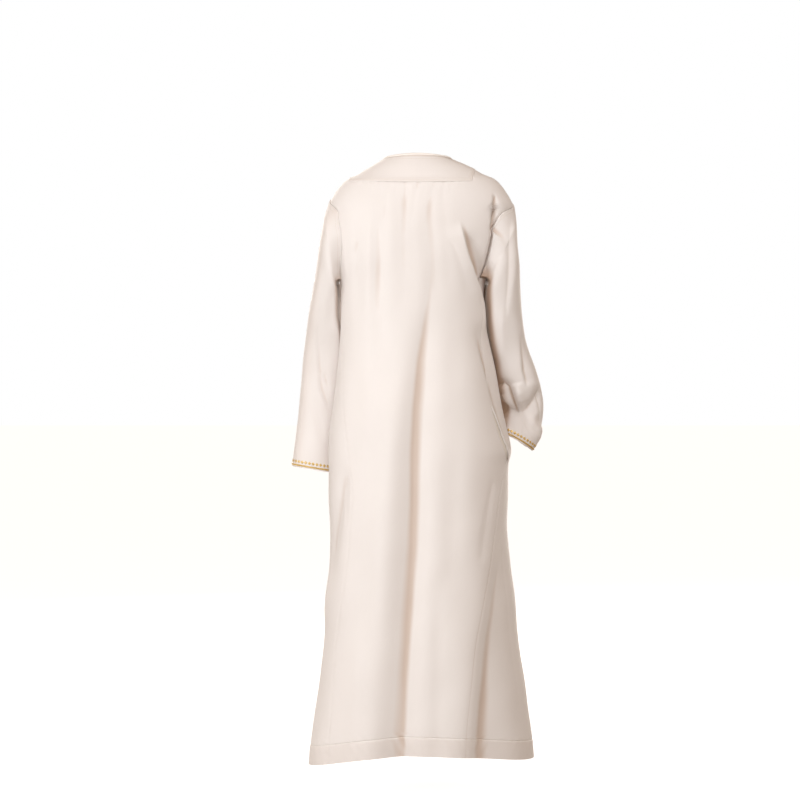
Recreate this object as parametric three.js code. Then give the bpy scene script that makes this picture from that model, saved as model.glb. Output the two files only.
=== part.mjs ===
// A child's ivory kurta in its worn form: hollow, held at the shoulders.
// Millimetres, +Z up. The origin is the centre of the neck opening at shoulder level.
// The back faces +Y and the wearer's left is +X.
import * as THREE from "three";

// ---- driving dimensions -------------------------------------------------------------------
const cloth = 1.6;                // wall of one layer, with its seam allowances pressed flat
const hemCloth = 2.6;             // the turned-up hem is double
const seamGap = 0.3;              // between two pieces that are sewn together
const yokeRow = 3;                // section at which the yoke meets the gathered back
const shoulderRow = 4;            // section at which the armhole starts
const armpitRow = 9;              // section at which the armhole ends and the gores start
const bindingHeight = 6;          // of the bound neck edge
const bindingThickness = 2.4;
const bindingReach = 0.4;         // sections below the edge from which the binding takes its rise
const bindingRise = 0.8;          // least upright share of its direction
const slitLength = 190;           // of the neck slit down the front
const slitWidth = 2.5;
const placketWidth = 30;
const placketStart = 3;           // below the neck edge
const buttonDiameter = 10;
const buttonThickness = 2.4;
const buttonDepths = [30, 90, 150];   // below the front of the neck
const braidWidth = 3;
const braidThickness = 0.9;
const braidGap = 0.5;
const braidAboveCuff = 3;

// ---- the body, in horizontal sections from the neck edge to the hem -------------------------
// Heights at the left side, right side, back and front, then how far the cloth stands from the
// axis to the left, right, back and front.
const sectionColumns = ["leftZ", "rightZ", "backZ", "frontZ", "left", "right", "back", "front"];
const sections = rows(sectionColumns, [
  [-9, -9, -6, -52, 69, 69, 50, 64],              // neck edge
  [-24, -23, -24, -64, 95, 103, 62, 74],
  [-39, -38, -43, -78, 119, 129, 72, 83],
  [-55, -54, -62, -94, 148, 161, 80, 90],         // yoke seam
  [-88, -97, -92, -118, 172, 190, 86, 96],        // shoulder points
  [-112, -118, -120, -142, 176, 190, 90, 101],
  [-138, -142, -146, -166, 178, 188, 92, 105],
  [-166, -170, -174, -190, 176, 180, 93, 108],
  [-208, -208, -212, -222, 168, 158, 93, 110],
  [-252, -249, -252, -254, 157, 137, 92, 110],    // underarms
  [-300, -300, -300, -300, 155, 133, 91, 110],
  [-370, -370, -370, -370, 154, 143, 93, 111],
  [-440, -440, -440, -440, 161, 157, 100, 112],
  [-500, -500, -500, -500, 169, 168, 107, 114],
  [-545, -545, -545, -545, 175, 178, 111, 116],
  [-590, -590, -590, -590, 177, 187, 115, 118],
  [-620, -620, -620, -620, 177, 183, 117, 120],
  [-680, -680, -680, -680, 177, 182, 120, 124],
  [-750, -750, -750, -750, 175, 179, 124, 127],
  [-820, -820, -820, -820, 178, 186, 127, 131],
  [-890, -890, -890, -890, 185, 195, 131, 135],
  [-960, -960, -960, -960, 186, 202, 135, 139],
  [-1030, -1030, -1030, -1030, 193, 212, 139, 143],
  [-1095, -1095, -1090, -1090, 202, 220, 143, 147],
  [-1145, -1140, -1125, -1135, 209, 226, 146, 150],
  [-1178, -1166, -1143, -1159, 213, 229, 147, 151],   // hem stitching
  [-1216, -1203, -1180, -1196, 216, 232, 149, 153],   // hem edge
]);
const hemRow = sections.length - 1;
const hemStitchRow = hemRow - 1;

// Distance of the four long seams from the axis, from the underarms down. The wearer stands
// turned a little, so the back panel swings to the left towards the hem.
const seamColumns = ["backLeft", "backRight", "frontLeft", "frontRight"];
const seams = rows(seamColumns, [
  [153, 130, 153, 131],
  [150, 125, 150, 128],
  [147, 126, 146, 137],
  [149, 138, 148, 151],
  [148, 145, 147, 161],
  [144, 159, 144, 169],
  [139, 174, 139, 176],
  [136, 177, 134, 174],
  [129, 163, 127, 173],
  [134, 153, 120, 170],
  [141, 143, 113, 176],
  [151, 129, 107, 185],
  [160, 114, 101, 193],
  [166, 106, 97, 204],
  [171, 99, 93, 213],
  [174, 96, 91, 220],
  [176, 95, 90, 223],
  [178, 93, 89, 226],
]);

// Half opening of each armhole, in degrees round the section, from shoulder point to underarm.
const armholeColumns = ["leftSide", "rightSide"];
const armholes = rows(armholeColumns, [[0, 0], [25, 27], [29, 35], [31, 36], [25, 29], [12, 17]]);

// Corners of the yoke: distance from the axis of its short side seams, and the section at which
// each one meets the shoulder line.
const yokeLeft = { side: 138, ridge: 2.6 };
const yokeRight = { side: 107, ridge: 1.5 };

// ---- folds ------------------------------------------------------------------------------
// Each fold runs from one point of the cloth to another, as seen from behind (or from the front),
// with its half width at both ends. A valley has a negative depth and a ridge a positive one.
const foldColumns = ["fromX", "fromZ", "toX", "toZ", "bow", "widthFrom", "widthTo",
  "depthFrom", "depthTo"];
const backFolds = rows(foldColumns, [
  [-22, -205, 54, -1400, 4, 10, 27, -6, -21],      // long valley down the middle
  [-54, -240, -12, -1400, 5, 18, 36, 4, 9],        // ridge on its right
  [24, -300, 122, -1400, 0, 20, 36, 2, 8],         // light swell on its left
  [-146, -740, -70, -1400, 8, 20, 30, 4, 10],      // ridge along the right seam
  [-172, -740, -88, -1400, 8, 16, 40, -6, -16],   // gore falls in beside it
  [-83, -140, -129, -322, -6, 7, 11, -7, -8],      // pull from the right underarm
  [-108, -350, -172, -592, -6, 9, 9, -5, -5],      // crease above the pocket
  [140, -600, 178, -900, 0, 13, 18, -8, -7],       // soft valley on the left gore
  [78, -135, 76, -310, 0, 10, 10, -3, -3],
  [96, -135, 97, -310, 0, 9, 9, 2.5, 2.5],
  [121, -135, 118, -320, 0, 9, 10, -3, -3],
  [-72, -95, -68, -300, 0, 14, 16, 3.5, 3.5],
]);
const frontFolds = rows(foldColumns, [
  [-40, -300, -106, -1400, 4, 12, 30, -5, -20],
  [20, -320, 36, -1400, -6, 14, 30, -4, -14],
  [70, -360, 128, -1400, 0, 12, 28, -4, -15],
  [-8, -330, -34, -1400, 0, 16, 34, 4, 9],
  [-150, -620, -212, -1400, 0, 14, 26, -5, -12],
  [120, -160, 96, -330, 0, 10, 12, -4, -4],
  [-110, -160, -90, -330, 0, 10, 12, -4, -4],
]);
const foldFade = 0.16;            // share of a fold's length over which each end dies away

// Gathers where the back is sewn to the yoke: place across the yoke seam, how far the valley
// leans to the left as it falls, its length and its depth.
const gatherColumns = ["x", "lean", "length", "depth"];
const gathers = rows(gatherColumns, [
  [78, 3, 62, 2.6],
  [59, 3, 70, 3.2],
  [41, 2, 84, 3.8],
  [25, 1, 96, 5.0],
  [1, 14, 88, 4.2],
  [-32, 14, 80, 3.6],
  [-52, 8, 56, 2.4],
]);
const gatherHalfWidth = 5.5;
const gatherStart = 0.05;         // share of its length by which a valley starts above the seam

// ---- sleeves ----------------------------------------------------------------------------
// Sections from the shoulder to the cuff: outer and inner ends of each one as seen from behind
// (distance from the axis and height), its middle from front to back and half its depth.
const sleeveColumns = ["outerX", "outerZ", "innerX", "innerZ", "midY", "halfDepth"];
const leftSleeve = rows(sleeveColumns, [
  [187, -128, 164, -260, -1, 52],
  [195, -175, 162, -274, -5, 52],
  [203, -222, 161, -292, -12, 49],
  [211, -275, 160, -324, -24, 45],
  [220, -325, 154, -357, -38, 42],
  [227, -372, 150, -394, -53, 39],
  [232, -420, 151, -434, -63, 38],
  [237, -470, 156, -480, -69, 37],
  [242, -520, 162, -530, -73, 36],
  [248, -572, 167, -584, -75, 36],
  [253, -616, 168, -630, -76, 36],
  [254, -624, 169, -638, -76, 36],
]);
const rightSleeve = rows(sleeveColumns, [
  [-198, -140, -144, -260, 0, 53],
  [-200, -185, -142, -276, -2, 53],
  [-204, -232, -142, -298, -6, 50],
  [-207, -282, -145, -330, -12, 46],
  [-212, -332, -150, -368, -20, 43],
  [-222, -382, -156, -406, -30, 41],
  [-239, -430, -162, -446, -38, 39],
  [-251, -470, -166, -476, -46, 38],
  [-255, -515, -171, -502, -55, 38],
  [-249, -552, -175, -528, -62, 37],
  [-232, -580, -178, -547, -66, 36],
  [-226, -588, -180, -555, -67, 36],
]);
// Folds of the sleeves: row of sections at both ends, angle round the sleeve from its outer line
// towards the back, half width in degrees at the middle, and depth.
const sleeveFoldColumns = ["fromRow", "fromAngle", "toRow", "toAngle", "halfWidth", "depth"];
const leftSleeveFolds = rows(sleeveFoldColumns, [
  [2.0, 118, 9.5, 112, 17, -5],
  [4.0, 78, 10.5, 92, 14, -3],
  [4.0, 100, 10.5, 104, 10, 2.5],
  [0.5, 60, 5.0, 50, 18, -3],
  [5.5, 150, 7.5, 95, 20, -5],
  [1.0, 250, 8.0, 262, 20, -5],
  [3.0, 300, 10.0, 290, 20, -3],
]);
const rightSleeveFolds = rows(sleeveFoldColumns, [
  [0.5, 62, 5.0, 56, 17, -5],
  [2.5, 84, 6.0, 78, 15, 4],
  [0.5, 120, 4.5, 128, 16, -6],
  [4.5, 24, 8.0, 60, 18, 5],
  [6.4, 138, 8.6, 62, 16, -9],
  [7.2, 150, 9.0, 100, 16, 4],
  [5.5, 50, 7.4, 118, 14, -4],
  [2.0, 250, 6.0, 262, 20, -5],
  [5.0, 230, 8.0, 300, 20, -7],
]);

// ---- pocket -------------------------------------------------------------------------------
const mouthTopRow = 13;           // sections between which the mouth lies
const mouthEndRow = 16;
const mouthGape = [8, 9];         // at the sections between them
const mouthSpread = 0.25;         // share of the gore that stands out with its edge
const pocketColumns = 7;          // columns of the gore that the bag lies behind
const mouthInset = 0.02;          // share of the gore from its edge to that of the front leaf
const pocketCloth = 1;
const pocketClearance = 0.8;      // between the gore and the bag
const pocketTuck = 4.5;           // the bag's edge lies this far behind the edge of the back
const pocketEdgeTurn = 3;         // degrees behind the seam at which the back leaf starts
const leafGap = 2.4;              // between the outer faces of the two leaves where they meet
const bulgeSpan = [0.18, 0.94];   // part of a half wave that the back leaf follows
const pocketHollow = 15;          // how far the bag stands open
const pocketFullness = [
  [12, 0], [13, 0.6], [14, 0.95], [15, 1], [16, 0.95], [17, 0.7], [18, 0],
];                                // section and share of the opening

// ---- mesh of the walls ------------------------------------------------------------------
const panelRows = range(shoulderRow, hemRow);
const goreColumns = 12;
const earSteps = 4;               // columns of the back beside each end of the yoke
const gatherSteps = 17;           // columns of the back across the yoke
const frontColumns = 16;

function rows(names, table) {
  return table.map((values) => Object.fromEntries(names.map((name, i) => [name, values[i]])));
}

function range(first, last) {
  return Array.from({ length: last - first + 1 }, (_, i) => first + i);
}

function mix(a, b, t) {
  return a + (b - a) * t;
}

function clamp01(t) {
  return Math.min(1, Math.max(0, t));
}

function smoothStep(t) {
  const share = clamp01(t);
  return share * share * (3 - 2 * share);
}

function degrees(angle) {
  return (angle * Math.PI) / 180;
}

// A value from a table of rows, in line between two rows.
function between(table, name, row) {
  const first = Math.min(table.length - 2, Math.max(0, Math.floor(row)));
  return mix(table[first][name], table[first + 1][name], row - first);
}

// ---- surface of the body ------------------------------------------------------------------
// angle: 0 at the middle of the back, 90 at the left side, 180 at the front, -90 at the right.
function smoothPoint(angle, row) {
  const s = Math.sin(degrees(angle));
  const c = Math.cos(degrees(angle));
  const section = (name) => between(sections, name, row);
  const sideZ = s > 0 ? section("leftZ") : section("rightZ");
  const middleZ = c > 0 ? section("backZ") : section("frontZ");
  return new THREE.Vector3(
    s * (s > 0 ? section("left") : section("right")),
    c * (c > 0 ? section("back") : section("front")),
    mix(middleZ, sideZ, s * s),
  );
}

function smoothNormal(angle, row) {
  const up = Math.max(0, row - 0.05);
  const down = Math.min(hemRow, row + 0.05);
  const along = smoothPoint(angle, down).sub(smoothPoint(angle, up));
  const round = smoothPoint(angle + 0.5, row).sub(smoothPoint(angle - 0.5, row));
  return new THREE.Vector3().crossVectors(round, along).normalize();
}

function foldHeight(folds, x, z) {
  let height = 0;
  for (const fold of folds) {
    const t = (z - fold.fromZ) / (fold.toZ - fold.fromZ);
    if (t <= 0 || t >= 1) continue;
    const centre = mix(fold.fromX, fold.toX, t) + fold.bow * 4 * t * (1 - t);
    const width = mix(fold.widthFrom, fold.widthTo, t);
    const fade = smoothStep(t / foldFade) * smoothStep((1 - t) / foldFade);
    const depth = mix(fold.depthFrom, fold.depthTo, t) * fade;
    height += depth * Math.exp(-(((x - centre) / width) ** 2));
  }
  return height;
}

function gatherHeight(x, z) {
  const top = between(sections, "backZ", yokeRow);
  let height = 0;
  for (const gather of gathers) {
    const t = (top - z) / gather.length;
    if (t < -gatherStart || t > 1) continue;
    const centre = gather.x + gather.lean * t;
    const fade = Math.cos((Math.PI / 2) * Math.max(0, t));
    height -= gather.depth * fade * Math.exp(-(((x - centre) / gatherHalfWidth) ** 2));
  }
  return height;
}

// The cloth of the body with its folds. Each point keeps the direction that faces out of it.
function bodyPoint(angle, row, outward = 0) {
  const point = smoothPoint(angle, row);
  const facing = Math.cos(degrees(angle));
  const folds = facing > 0 ? backFolds : frontFolds;
  let height = foldHeight(folds, point.x, point.z) * clamp01(Math.abs(facing) * 3);
  if (facing > 0 && row > yokeRow) height += gatherHeight(point.x, point.z);
  const normal = smoothNormal(angle, row);
  return withNormal(point.addScaledVector(normal, height + outward), normal);
}

function withNormal(point, normal) {
  point.normal = normal;
  return point;
}

// Angle at which the section stands at a distance from the axis, on the back.
function angleAt(distance, row, side) {
  return (Math.asin(Math.min(1, distance / between(sections, side, row))) * 180) / Math.PI;
}

// ---- edges of the panels, as angles at each section ------------------------------------------
function armholeHalf(side, row) {
  return between(armholes, side, row - shoulderRow);
}

function seamAngle(name, row, side) {
  return angleAt(between(seams, name, row - armpitRow), row, side);
}

const edges = {
  backLeft(row) {
    if (row <= shoulderRow) return 90;
    if (row < armpitRow) return 90 - armholeHalf("leftSide", row);
    return seamAngle("backLeft", row, "left");
  },
  backRight(row) {
    if (row <= shoulderRow) return -90;
    if (row < armpitRow) return -90 + armholeHalf("rightSide", row);
    return -seamAngle("backRight", row, "right");
  },
  frontLeft(row) {
    if (row <= shoulderRow) return 90;
    if (row < armpitRow) return 90 + armholeHalf("leftSide", row);
    return 180 - seamAngle("frontLeft", row, "left");
  },
  frontRight(row) {
    if (row <= shoulderRow) return 270;
    if (row < armpitRow) return 270 - armholeHalf("rightSide", row);
    return 180 + seamAngle("frontRight", row, "right");
  },
};

// ---- walls ------------------------------------------------------------------------------
// A wall over a grid of points grid[row][column]. The points lie on the outer face, and the inner
// face lies one thickness behind. A closed wall goes all the way round, and lift moves a wall
// outwards that lies on another. Cells for which isOpen(row, column) holds are left out, and
// every edge of the cloth gets a rim.
function wall(grid, thickness, options = {}) {
  const { closed = false, flip = false, lift = 0, isOpen = () => false } = options;
  const rowCount = grid.length;
  const columnCount = grid[0].length;
  const wrap = (column) => (closed ? (column + columnCount) % columnCount : column);
  const at = (row, column) => grid[Math.min(rowCount - 1, Math.max(0, row))][
    closed ? wrap(column) : Math.min(columnCount - 1, Math.max(0, column))];
  const positions = [];
  const sign = flip ? -1 : 1;
  for (let row = 0; row < rowCount; row += 1) {
    for (let column = 0; column < columnCount; column += 1) {
      const along = at(row + 1, column).clone().sub(at(row - 1, column));
      const round = at(row, column + 1).clone().sub(at(row, column - 1));
      const point = grid[row][column];
      const normal = point.normal ?? round.cross(along).normalize().multiplyScalar(sign);
      const layer = typeof thickness === "function" ? thickness(row, column) : thickness;
      positions.push(
        point.clone().addScaledVector(normal, lift),
        point.clone().addScaledVector(normal, lift - layer),
      );
    }
  }
  const outer = (row, column) => 2 * (row * columnCount + wrap(column));
  const inner = (row, column) => outer(row, column) + 1;
  const faces = [];
  const quad = (a, b, c, d) => {
    if (flip) faces.push([a, b, c], [a, c, d]);
    else faces.push([a, d, c], [a, c, b]);
  };
  const lastColumn = closed ? columnCount : columnCount - 1;
  const present = (row, column) => {
    if (row < 0 || row >= rowCount - 1) return false;
    if (!closed && (column < 0 || column >= lastColumn)) return false;
    return !isOpen(row, wrap(column));
  };
  for (let row = 0; row < rowCount - 1; row += 1) {
    for (let column = 0; column < lastColumn; column += 1) {
      if (!present(row, column)) continue;
      const next = column + 1;
      quad(outer(row, column), outer(row + 1, column), outer(row + 1, next), outer(row, next));
      quad(inner(row, column), inner(row, next), inner(row + 1, next), inner(row + 1, column));
      if (!present(row - 1, column)) {
        quad(outer(row, column), outer(row, next), inner(row, next), inner(row, column));
      }
      if (!present(row + 1, column)) {
        quad(outer(row + 1, next), outer(row + 1, column), inner(row + 1, column), inner(row + 1, next));
      }
      if (!present(row, column - 1)) {
        quad(outer(row + 1, column), outer(row, column), inner(row, column), inner(row + 1, column));
      }
      if (!present(row, column + 1)) {
        quad(outer(row, next), outer(row + 1, next), inner(row + 1, next), inner(row, next));
      }
    }
  }
  const geometry = new THREE.BufferGeometry();
  geometry.setAttribute("position",
    new THREE.Float32BufferAttribute(positions.flatMap((p) => [p.x, p.y, p.z]), 3));
  geometry.setIndex(faces.flat());
  return geometry;
}

// Draw the edges of a panel back by half the seam gap, where the panel is sewn to another.
function trimEdges(grid, { top = false, bottom = false, first = false, last = false }) {
  const pull = (point, towards) => {
    const step = towards.clone().sub(point);
    return withNormal(point.clone().addScaledVector(step.normalize(), seamGap / 2), point.normal);
  };
  const end = grid.length - 1;
  const side = grid[0].length - 1;
  const result = grid.map((line) => line.map((point) => withNormal(point.clone(), point.normal)));
  for (let row = 0; row <= end; row += 1) {
    if (first) result[row][0] = pull(result[row][0], grid[row][1]);
    if (last) result[row][side] = pull(result[row][side], grid[row][side - 1]);
  }
  for (let column = 0; column <= side; column += 1) {
    if (top) result[0][column] = pull(result[0][column], result[1][column]);
    if (bottom) result[end][column] = pull(result[end][column], result[end - 1][column]);
  }
  return result;
}

const group = new THREE.Group();
const looks = {
  satin: { color: 0xe9dfd4, roughness: 0.45, metalness: 0 },
  gold: { color: 0xc9a765, roughness: 0.5, metalness: 0.4 },
  pearl: { color: 0xeee6da, roughness: 0.3, metalness: 0 },
};

function add(name, geometry, look = "satin") {
  geometry.computeVertexNormals();
  const mesh = new THREE.Mesh(geometry, new THREE.MeshStandardMaterial(looks[look]));
  mesh.name = name;
  group.add(mesh);
  return mesh;
}

const hemmed = (levels) => (row) => (levels[row] >= hemStitchRow ? hemCloth : cloth);

// ---- back ---------------------------------------------------------------------------------
// Section at which the top edge of the back lies: the yoke seam, and beside the yoke its short
// side seam, which climbs to the shoulder line.
function backTop(angle) {
  const corner = angle > 0 ? yokeLeft : yokeRight;
  const side = angle > 0 ? "left" : "right";
  let low = corner.ridge;
  let high = yokeRow;
  if (Math.abs(angle) <= angleAt(corner.side, yokeRow, side)) return yokeRow;
  if (Math.abs(angle) >= 90) return corner.ridge;
  for (let step = 0; step < 40; step += 1) {
    const middle = (low + high) / 2;
    const seam = mix(between(sections, side, corner.ridge), corner.side,
      (middle - corner.ridge) / (yokeRow - corner.ridge));
    if (angleAt(seam, middle, side) > Math.abs(angle)) low = middle;
    else high = middle;
  }
  return (low + high) / 2;
}

const yokeCornerAngles = {
  left: angleAt(yokeLeft.side, yokeRow, "left"),
  right: -angleAt(yokeRight.side, yokeRow, "right"),
};
const acrossYoke = range(0, gatherSteps).map((i) => {
  const x = mix(-yokeRight.side, yokeLeft.side, i / gatherSteps);
  return x < 0 ? -angleAt(-x, yokeRow, "right") : angleAt(x, yokeRow, "left");
});
const rightEar = range(0, earSteps - 1).map((i) => mix(-90, yokeCornerAngles.right, i / earSteps));
const leftEar = range(1, earSteps).map((i) => mix(yokeCornerAngles.left, 90, i / earSteps));
const backAngles = [...rightEar, ...acrossYoke, ...leftEar];

// Sections of the ear's edge on the shoulder line, with one at the bend at the yoke's level.
function backTopRows(angle) {
  const top = backTop(angle);
  const even = range(0, earSteps).map((i) => mix(top, shoulderRow, i / earSteps));
  const corner = angle > 0 ? yokeCornerAngles.left : yokeCornerAngles.right;
  const share = clamp01((Math.abs(angle) - Math.abs(corner)) / (90 - Math.abs(corner)));
  const bend = [top, mix(top, yokeRow, 0.5), yokeRow, mix(yokeRow, shoulderRow, 0.5), shoulderRow];
  return even.map((row, i) => mix(row, bend[i], share));
}

function backGrid() {
  const topPart = range(0, earSteps - 1).map((i) =>
    backAngles.map((angle) => bodyPoint(angle, backTopRows(angle)[i])));
  const lowPart = panelRows.map((row) => backAngles.map((angle) => {
    const share = (angle + 90) / 180;
    return bodyPoint(mix(edges.backRight(row), edges.backLeft(row), share), row);
  }));
  return [...topPart, ...lowPart];
}

function makeBack() {
  const levels = [...range(0, earSteps - 1).map(() => yokeRow), ...panelRows];
  const grid = trimEdges(backGrid(), { top: true, first: true, last: true });
  add("back", wall(grid, hemmed(levels)));
}

// ---- yoke ---------------------------------------------------------------------------------
// Its columns are even at the neck and meet those of the back at the yoke seam.
const yokeSeamShares = acrossYoke.map((angle) => (angle - yokeCornerAngles.right)
  / (yokeCornerAngles.left - yokeCornerAngles.right));

// Its side edges follow the shoulder line to the corner, then the short side seams.
function makeYoke() {
  const steps = earSteps - 1;
  const rightRows = [...range(0, steps - 1).map((i) => (yokeRight.ridge * i) / steps),
    ...[-90, ...rightEar.slice(1), yokeCornerAngles.right].map(backTop)];
  const leftRows = [...range(0, steps - 1),
    ...[90, ...leftEar.slice(0, -1).reverse(), yokeCornerAngles.left].map(backTop)];
  const rightAngles = [...Array(steps).fill(-90), -90, ...rightEar.slice(1), yokeCornerAngles.right];
  const leftAngles = [...Array(steps).fill(90), 90, ...leftEar.slice(0, -1).reverse(),
    yokeCornerAngles.left];
  const grid = leftRows.map((leftRow, i) => acrossYoke.map((_, column) => {
    const share = mix(column / gatherSteps, yokeSeamShares[column], i / (leftRows.length - 1));
    const angle = mix(rightAngles[i], leftAngles[i], share);
    return bodyPoint(angle, mix(rightRows[i], leftRow, share));
  }));
  add("yoke", wall(trimEdges(grid, { top: true, bottom: true, first: true, last: true }), cloth));
}

// ---- front, with its neck slit ----------------------------------------------------------------
const frontMiddle = frontColumns / 2;
const frontRows = range(0, hemRow);
function frontAngle(row, column) {
  const slitHalf = angleAt(slitWidth / 2, row, "left");
  return column <= frontMiddle
    ? mix(edges.frontLeft(row), 180 - slitHalf, column / frontMiddle)
    : mix(180 + slitHalf, edges.frontRight(row), (column - frontMiddle - 1) / frontMiddle);
}

function makeFront() {
  const grid = frontRows.map((row) =>
    range(0, frontColumns + 1).map((column) => bodyPoint(frontAngle(row, column), row)));
  const slitEnd = sections[0].frontZ - slitLength;
  const isOpen = (row, column) => column === frontMiddle && sections[row + 1].frontZ >= slitEnd;
  const trimmed = trimEdges(grid, { top: true, first: true, last: true });
  add("front", wall(trimmed, hemmed(frontRows), { isOpen }));
}

// ---- gores --------------------------------------------------------------------------------
// forward: 0 at the seam with the back, 1 at the seam with the front.
const goreRows = range(armpitRow, hemRow);
function goreAngle(side, row, forward) {
  return side === "left"
    ? mix(edges.backLeft(row), edges.frontLeft(row), forward)
    : mix(edges.backRight(row), edges.frontRight(row) - 360, forward);
}

// The right pocket gapes: there the edge of the gore stands out from the back.
function mouthLift(side, row, forward) {
  if (side === "left" || row <= mouthTopRow || row >= mouthEndRow) return 0;
  const lifts = [0, ...mouthGape, 0];
  const first = Math.floor(row);
  const atRow = mix(lifts[first - mouthTopRow], lifts[first - mouthTopRow + 1], row - first);
  return atRow * clamp01(1 - forward / mouthSpread);
}

function gorePoint(side, row, forward, outward = 0) {
  const lift = mouthLift(side, row, forward);
  return bodyPoint(goreAngle(side, row, forward), row, lift + outward);
}

function makeGore(side) {
  const grid = goreRows.map((row) => range(0, goreColumns).map((column) => {
    const forward = column / goreColumns;
    return gorePoint(side, row, side === "left" ? forward : 1 - forward);
  }));
  const trimmed = trimEdges(grid, { top: true, first: true, last: true });
  add(`gore_${side}`, wall(trimmed, hemmed(goreRows)));
}

// ---- bag of the right pocket, whose mouth lies in the seam between back and gore --------------
// It hangs inside the gore. Its back leaf starts behind the edge of the back panel and its front
// leaf ends behind the edge of the gore. The leaves meet all round but for the mouth.
function makePocket() {
  const depth = cloth + pocketClearance;
  const steps = range(0, pocketColumns);
  const grid = pocketFullness.map(([row, fullness]) => {
    const backEdge = bodyPoint(goreAngle("right", row, 0) + pocketEdgeTurn, row, -depth - pocketTuck);
    const inner = steps.map((step) => {
      const bulge = Math.sin(Math.PI * mix(bulgeSpan[0], bulgeSpan[1], step / pocketColumns));
      const behind = depth + leafGap + pocketHollow * fullness * bulge;
      return gorePoint("right", row, step / goreColumns, -behind);
    });
    const outer = steps.map((step) =>
      gorePoint("right", row, Math.max(mouthInset, (pocketColumns - step) / goreColumns), -depth));
    return [backEdge, ...inner, ...outer].map((point) => point.clone());
  });
  const mouthCell = grid[0].length - 1;
  const isOpen = (i, column) => column === mouthCell
    && pocketFullness[i][0] >= mouthTopRow && pocketFullness[i + 1][0] <= mouthEndRow;
  add("pocket_right", wall(grid, pocketCloth, { closed: true, isOpen }));
}

// ---- sleeves ------------------------------------------------------------------------------
// The edge of the armhole, from the shoulder point down the back, along the top of the gore and
// up the front.
function armholeLoop(side) {
  const backEdge = side === "left" ? edges.backLeft : edges.backRight;
  const frontEdge = side === "left" ? edges.frontLeft : (row) => edges.frontRight(row) - 360;
  const middle = side === "left" ? 90 : -90;
  const down = range(shoulderRow + 1, armpitRow).map((row) => bodyPoint(backEdge(row), row));
  const under = range(1, goreColumns - 1).map((i) =>
    bodyPoint(mix(backEdge(armpitRow), frontEdge(armpitRow), i / goreColumns), armpitRow));
  const up = range(shoulderRow + 1, armpitRow).reverse().map((row) => bodyPoint(frontEdge(row), row));
  return [bodyPoint(middle, shoulderRow), ...down, ...under, ...up];
}

function loopAngles(loop) {
  const lengths = loop.map((point, i) => point.distanceTo(loop[(i + 1) % loop.length]));
  const total = lengths.reduce((sum, length) => sum + length, 0);
  let run = 0;
  return lengths.map((length) => {
    const angle = (360 * run) / total;
    run += length;
    return angle;
  });
}

function sleeveFoldHeight(folds, row, angle) {
  let height = 0;
  for (const fold of folds) {
    const t = (row - fold.fromRow) / (fold.toRow - fold.fromRow);
    if (t <= 0 || t >= 1) continue;
    const centre = mix(fold.fromAngle, fold.toAngle, t);
    height += fold.depth * Math.sqrt(Math.sin(Math.PI * t))
      * Math.exp(-(((angle - centre) / fold.halfWidth) ** 2));
  }
  return height;
}

function sleevePoint(sleeve, folds, row, angle) {
  const value = (name) => between(sleeve, name, row);
  const outer = new THREE.Vector3(value("outerX"), value("midY"), value("outerZ"));
  const inner = new THREE.Vector3(value("innerX"), value("midY"), value("innerZ"));
  const centre = outer.clone().add(inner).multiplyScalar(0.5);
  const half = outer.clone().sub(inner).multiplyScalar(0.5);
  const c = Math.cos(degrees(angle));
  const s = Math.sin(degrees(angle));
  const swell = sleeveFoldHeight(folds, row, angle);
  return centre.addScaledVector(half, c * (1 + swell / half.length()))
    .add(new THREE.Vector3(0, s * (value("halfDepth") + swell), 0));
}

const sleeveStep = 0.5;           // sections of the wall for each row of the table
const sleeveStand = 1.2;          // the sleeve rises this far out of the armhole before it falls
const sleeves = {
  left: { table: leftSleeve, folds: leftSleeveFolds, flip: true },
  right: { table: rightSleeve, folds: rightSleeveFolds, flip: false },
};

function sleeveLevels(table) {
  const count = (table.length - 1) / sleeveStep;
  return range(0, count).map((i) => i * sleeveStep);
}

function makeSleeve(side) {
  const { table, folds, flip } = sleeves[side];
  const edge = armholeLoop(side);
  const angles = loopAngles(edge);
  const lower = sleeveLevels(table).map((row) =>
    angles.map((angle) => sleevePoint(table, folds, row, angle)));
  const middle = edge.reduce((sum, point) => sum.add(point), new THREE.Vector3());
  middle.divideScalar(edge.length);
  const stand = (outward) => edge.map((point) => {
    const inwards = middle.clone().sub(point).projectOnPlane(point.normal).normalize();
    return point.clone().addScaledVector(inwards, seamGap).addScaledVector(point.normal, outward);
  });
  const rings = [stand(-cloth), stand(sleeveStand), ...lower];
  add(`sleeve_${side}`, wall(rings, cloth, { closed: true, flip }));
}

// ---- gold braid round the cuffs, laid on the sleeve -------------------------------------------
function makeBraid(side) {
  const { table, folds, flip } = sleeves[side];
  const angles = loopAngles(armholeLoop(side));
  const last = table.length - 1;
  const cuff = sleevePoint(table, folds, last, 0);
  const above = sleevePoint(table, folds, last - 1, 0);
  const rowsPerMm = 1 / cuff.distanceTo(above);
  const bottom = last - braidAboveCuff * rowsPerMm;
  const top = bottom - braidWidth * rowsPerMm;
  const grid = [top, bottom].map((row) =>
    angles.map((angle) => sleevePoint(table, folds, row, angle)));
  const lift = braidGap + braidThickness;
  add(`cuff_braid_${side}`, wall(grid, braidThickness, { closed: true, flip, lift }), "gold");
}

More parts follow.
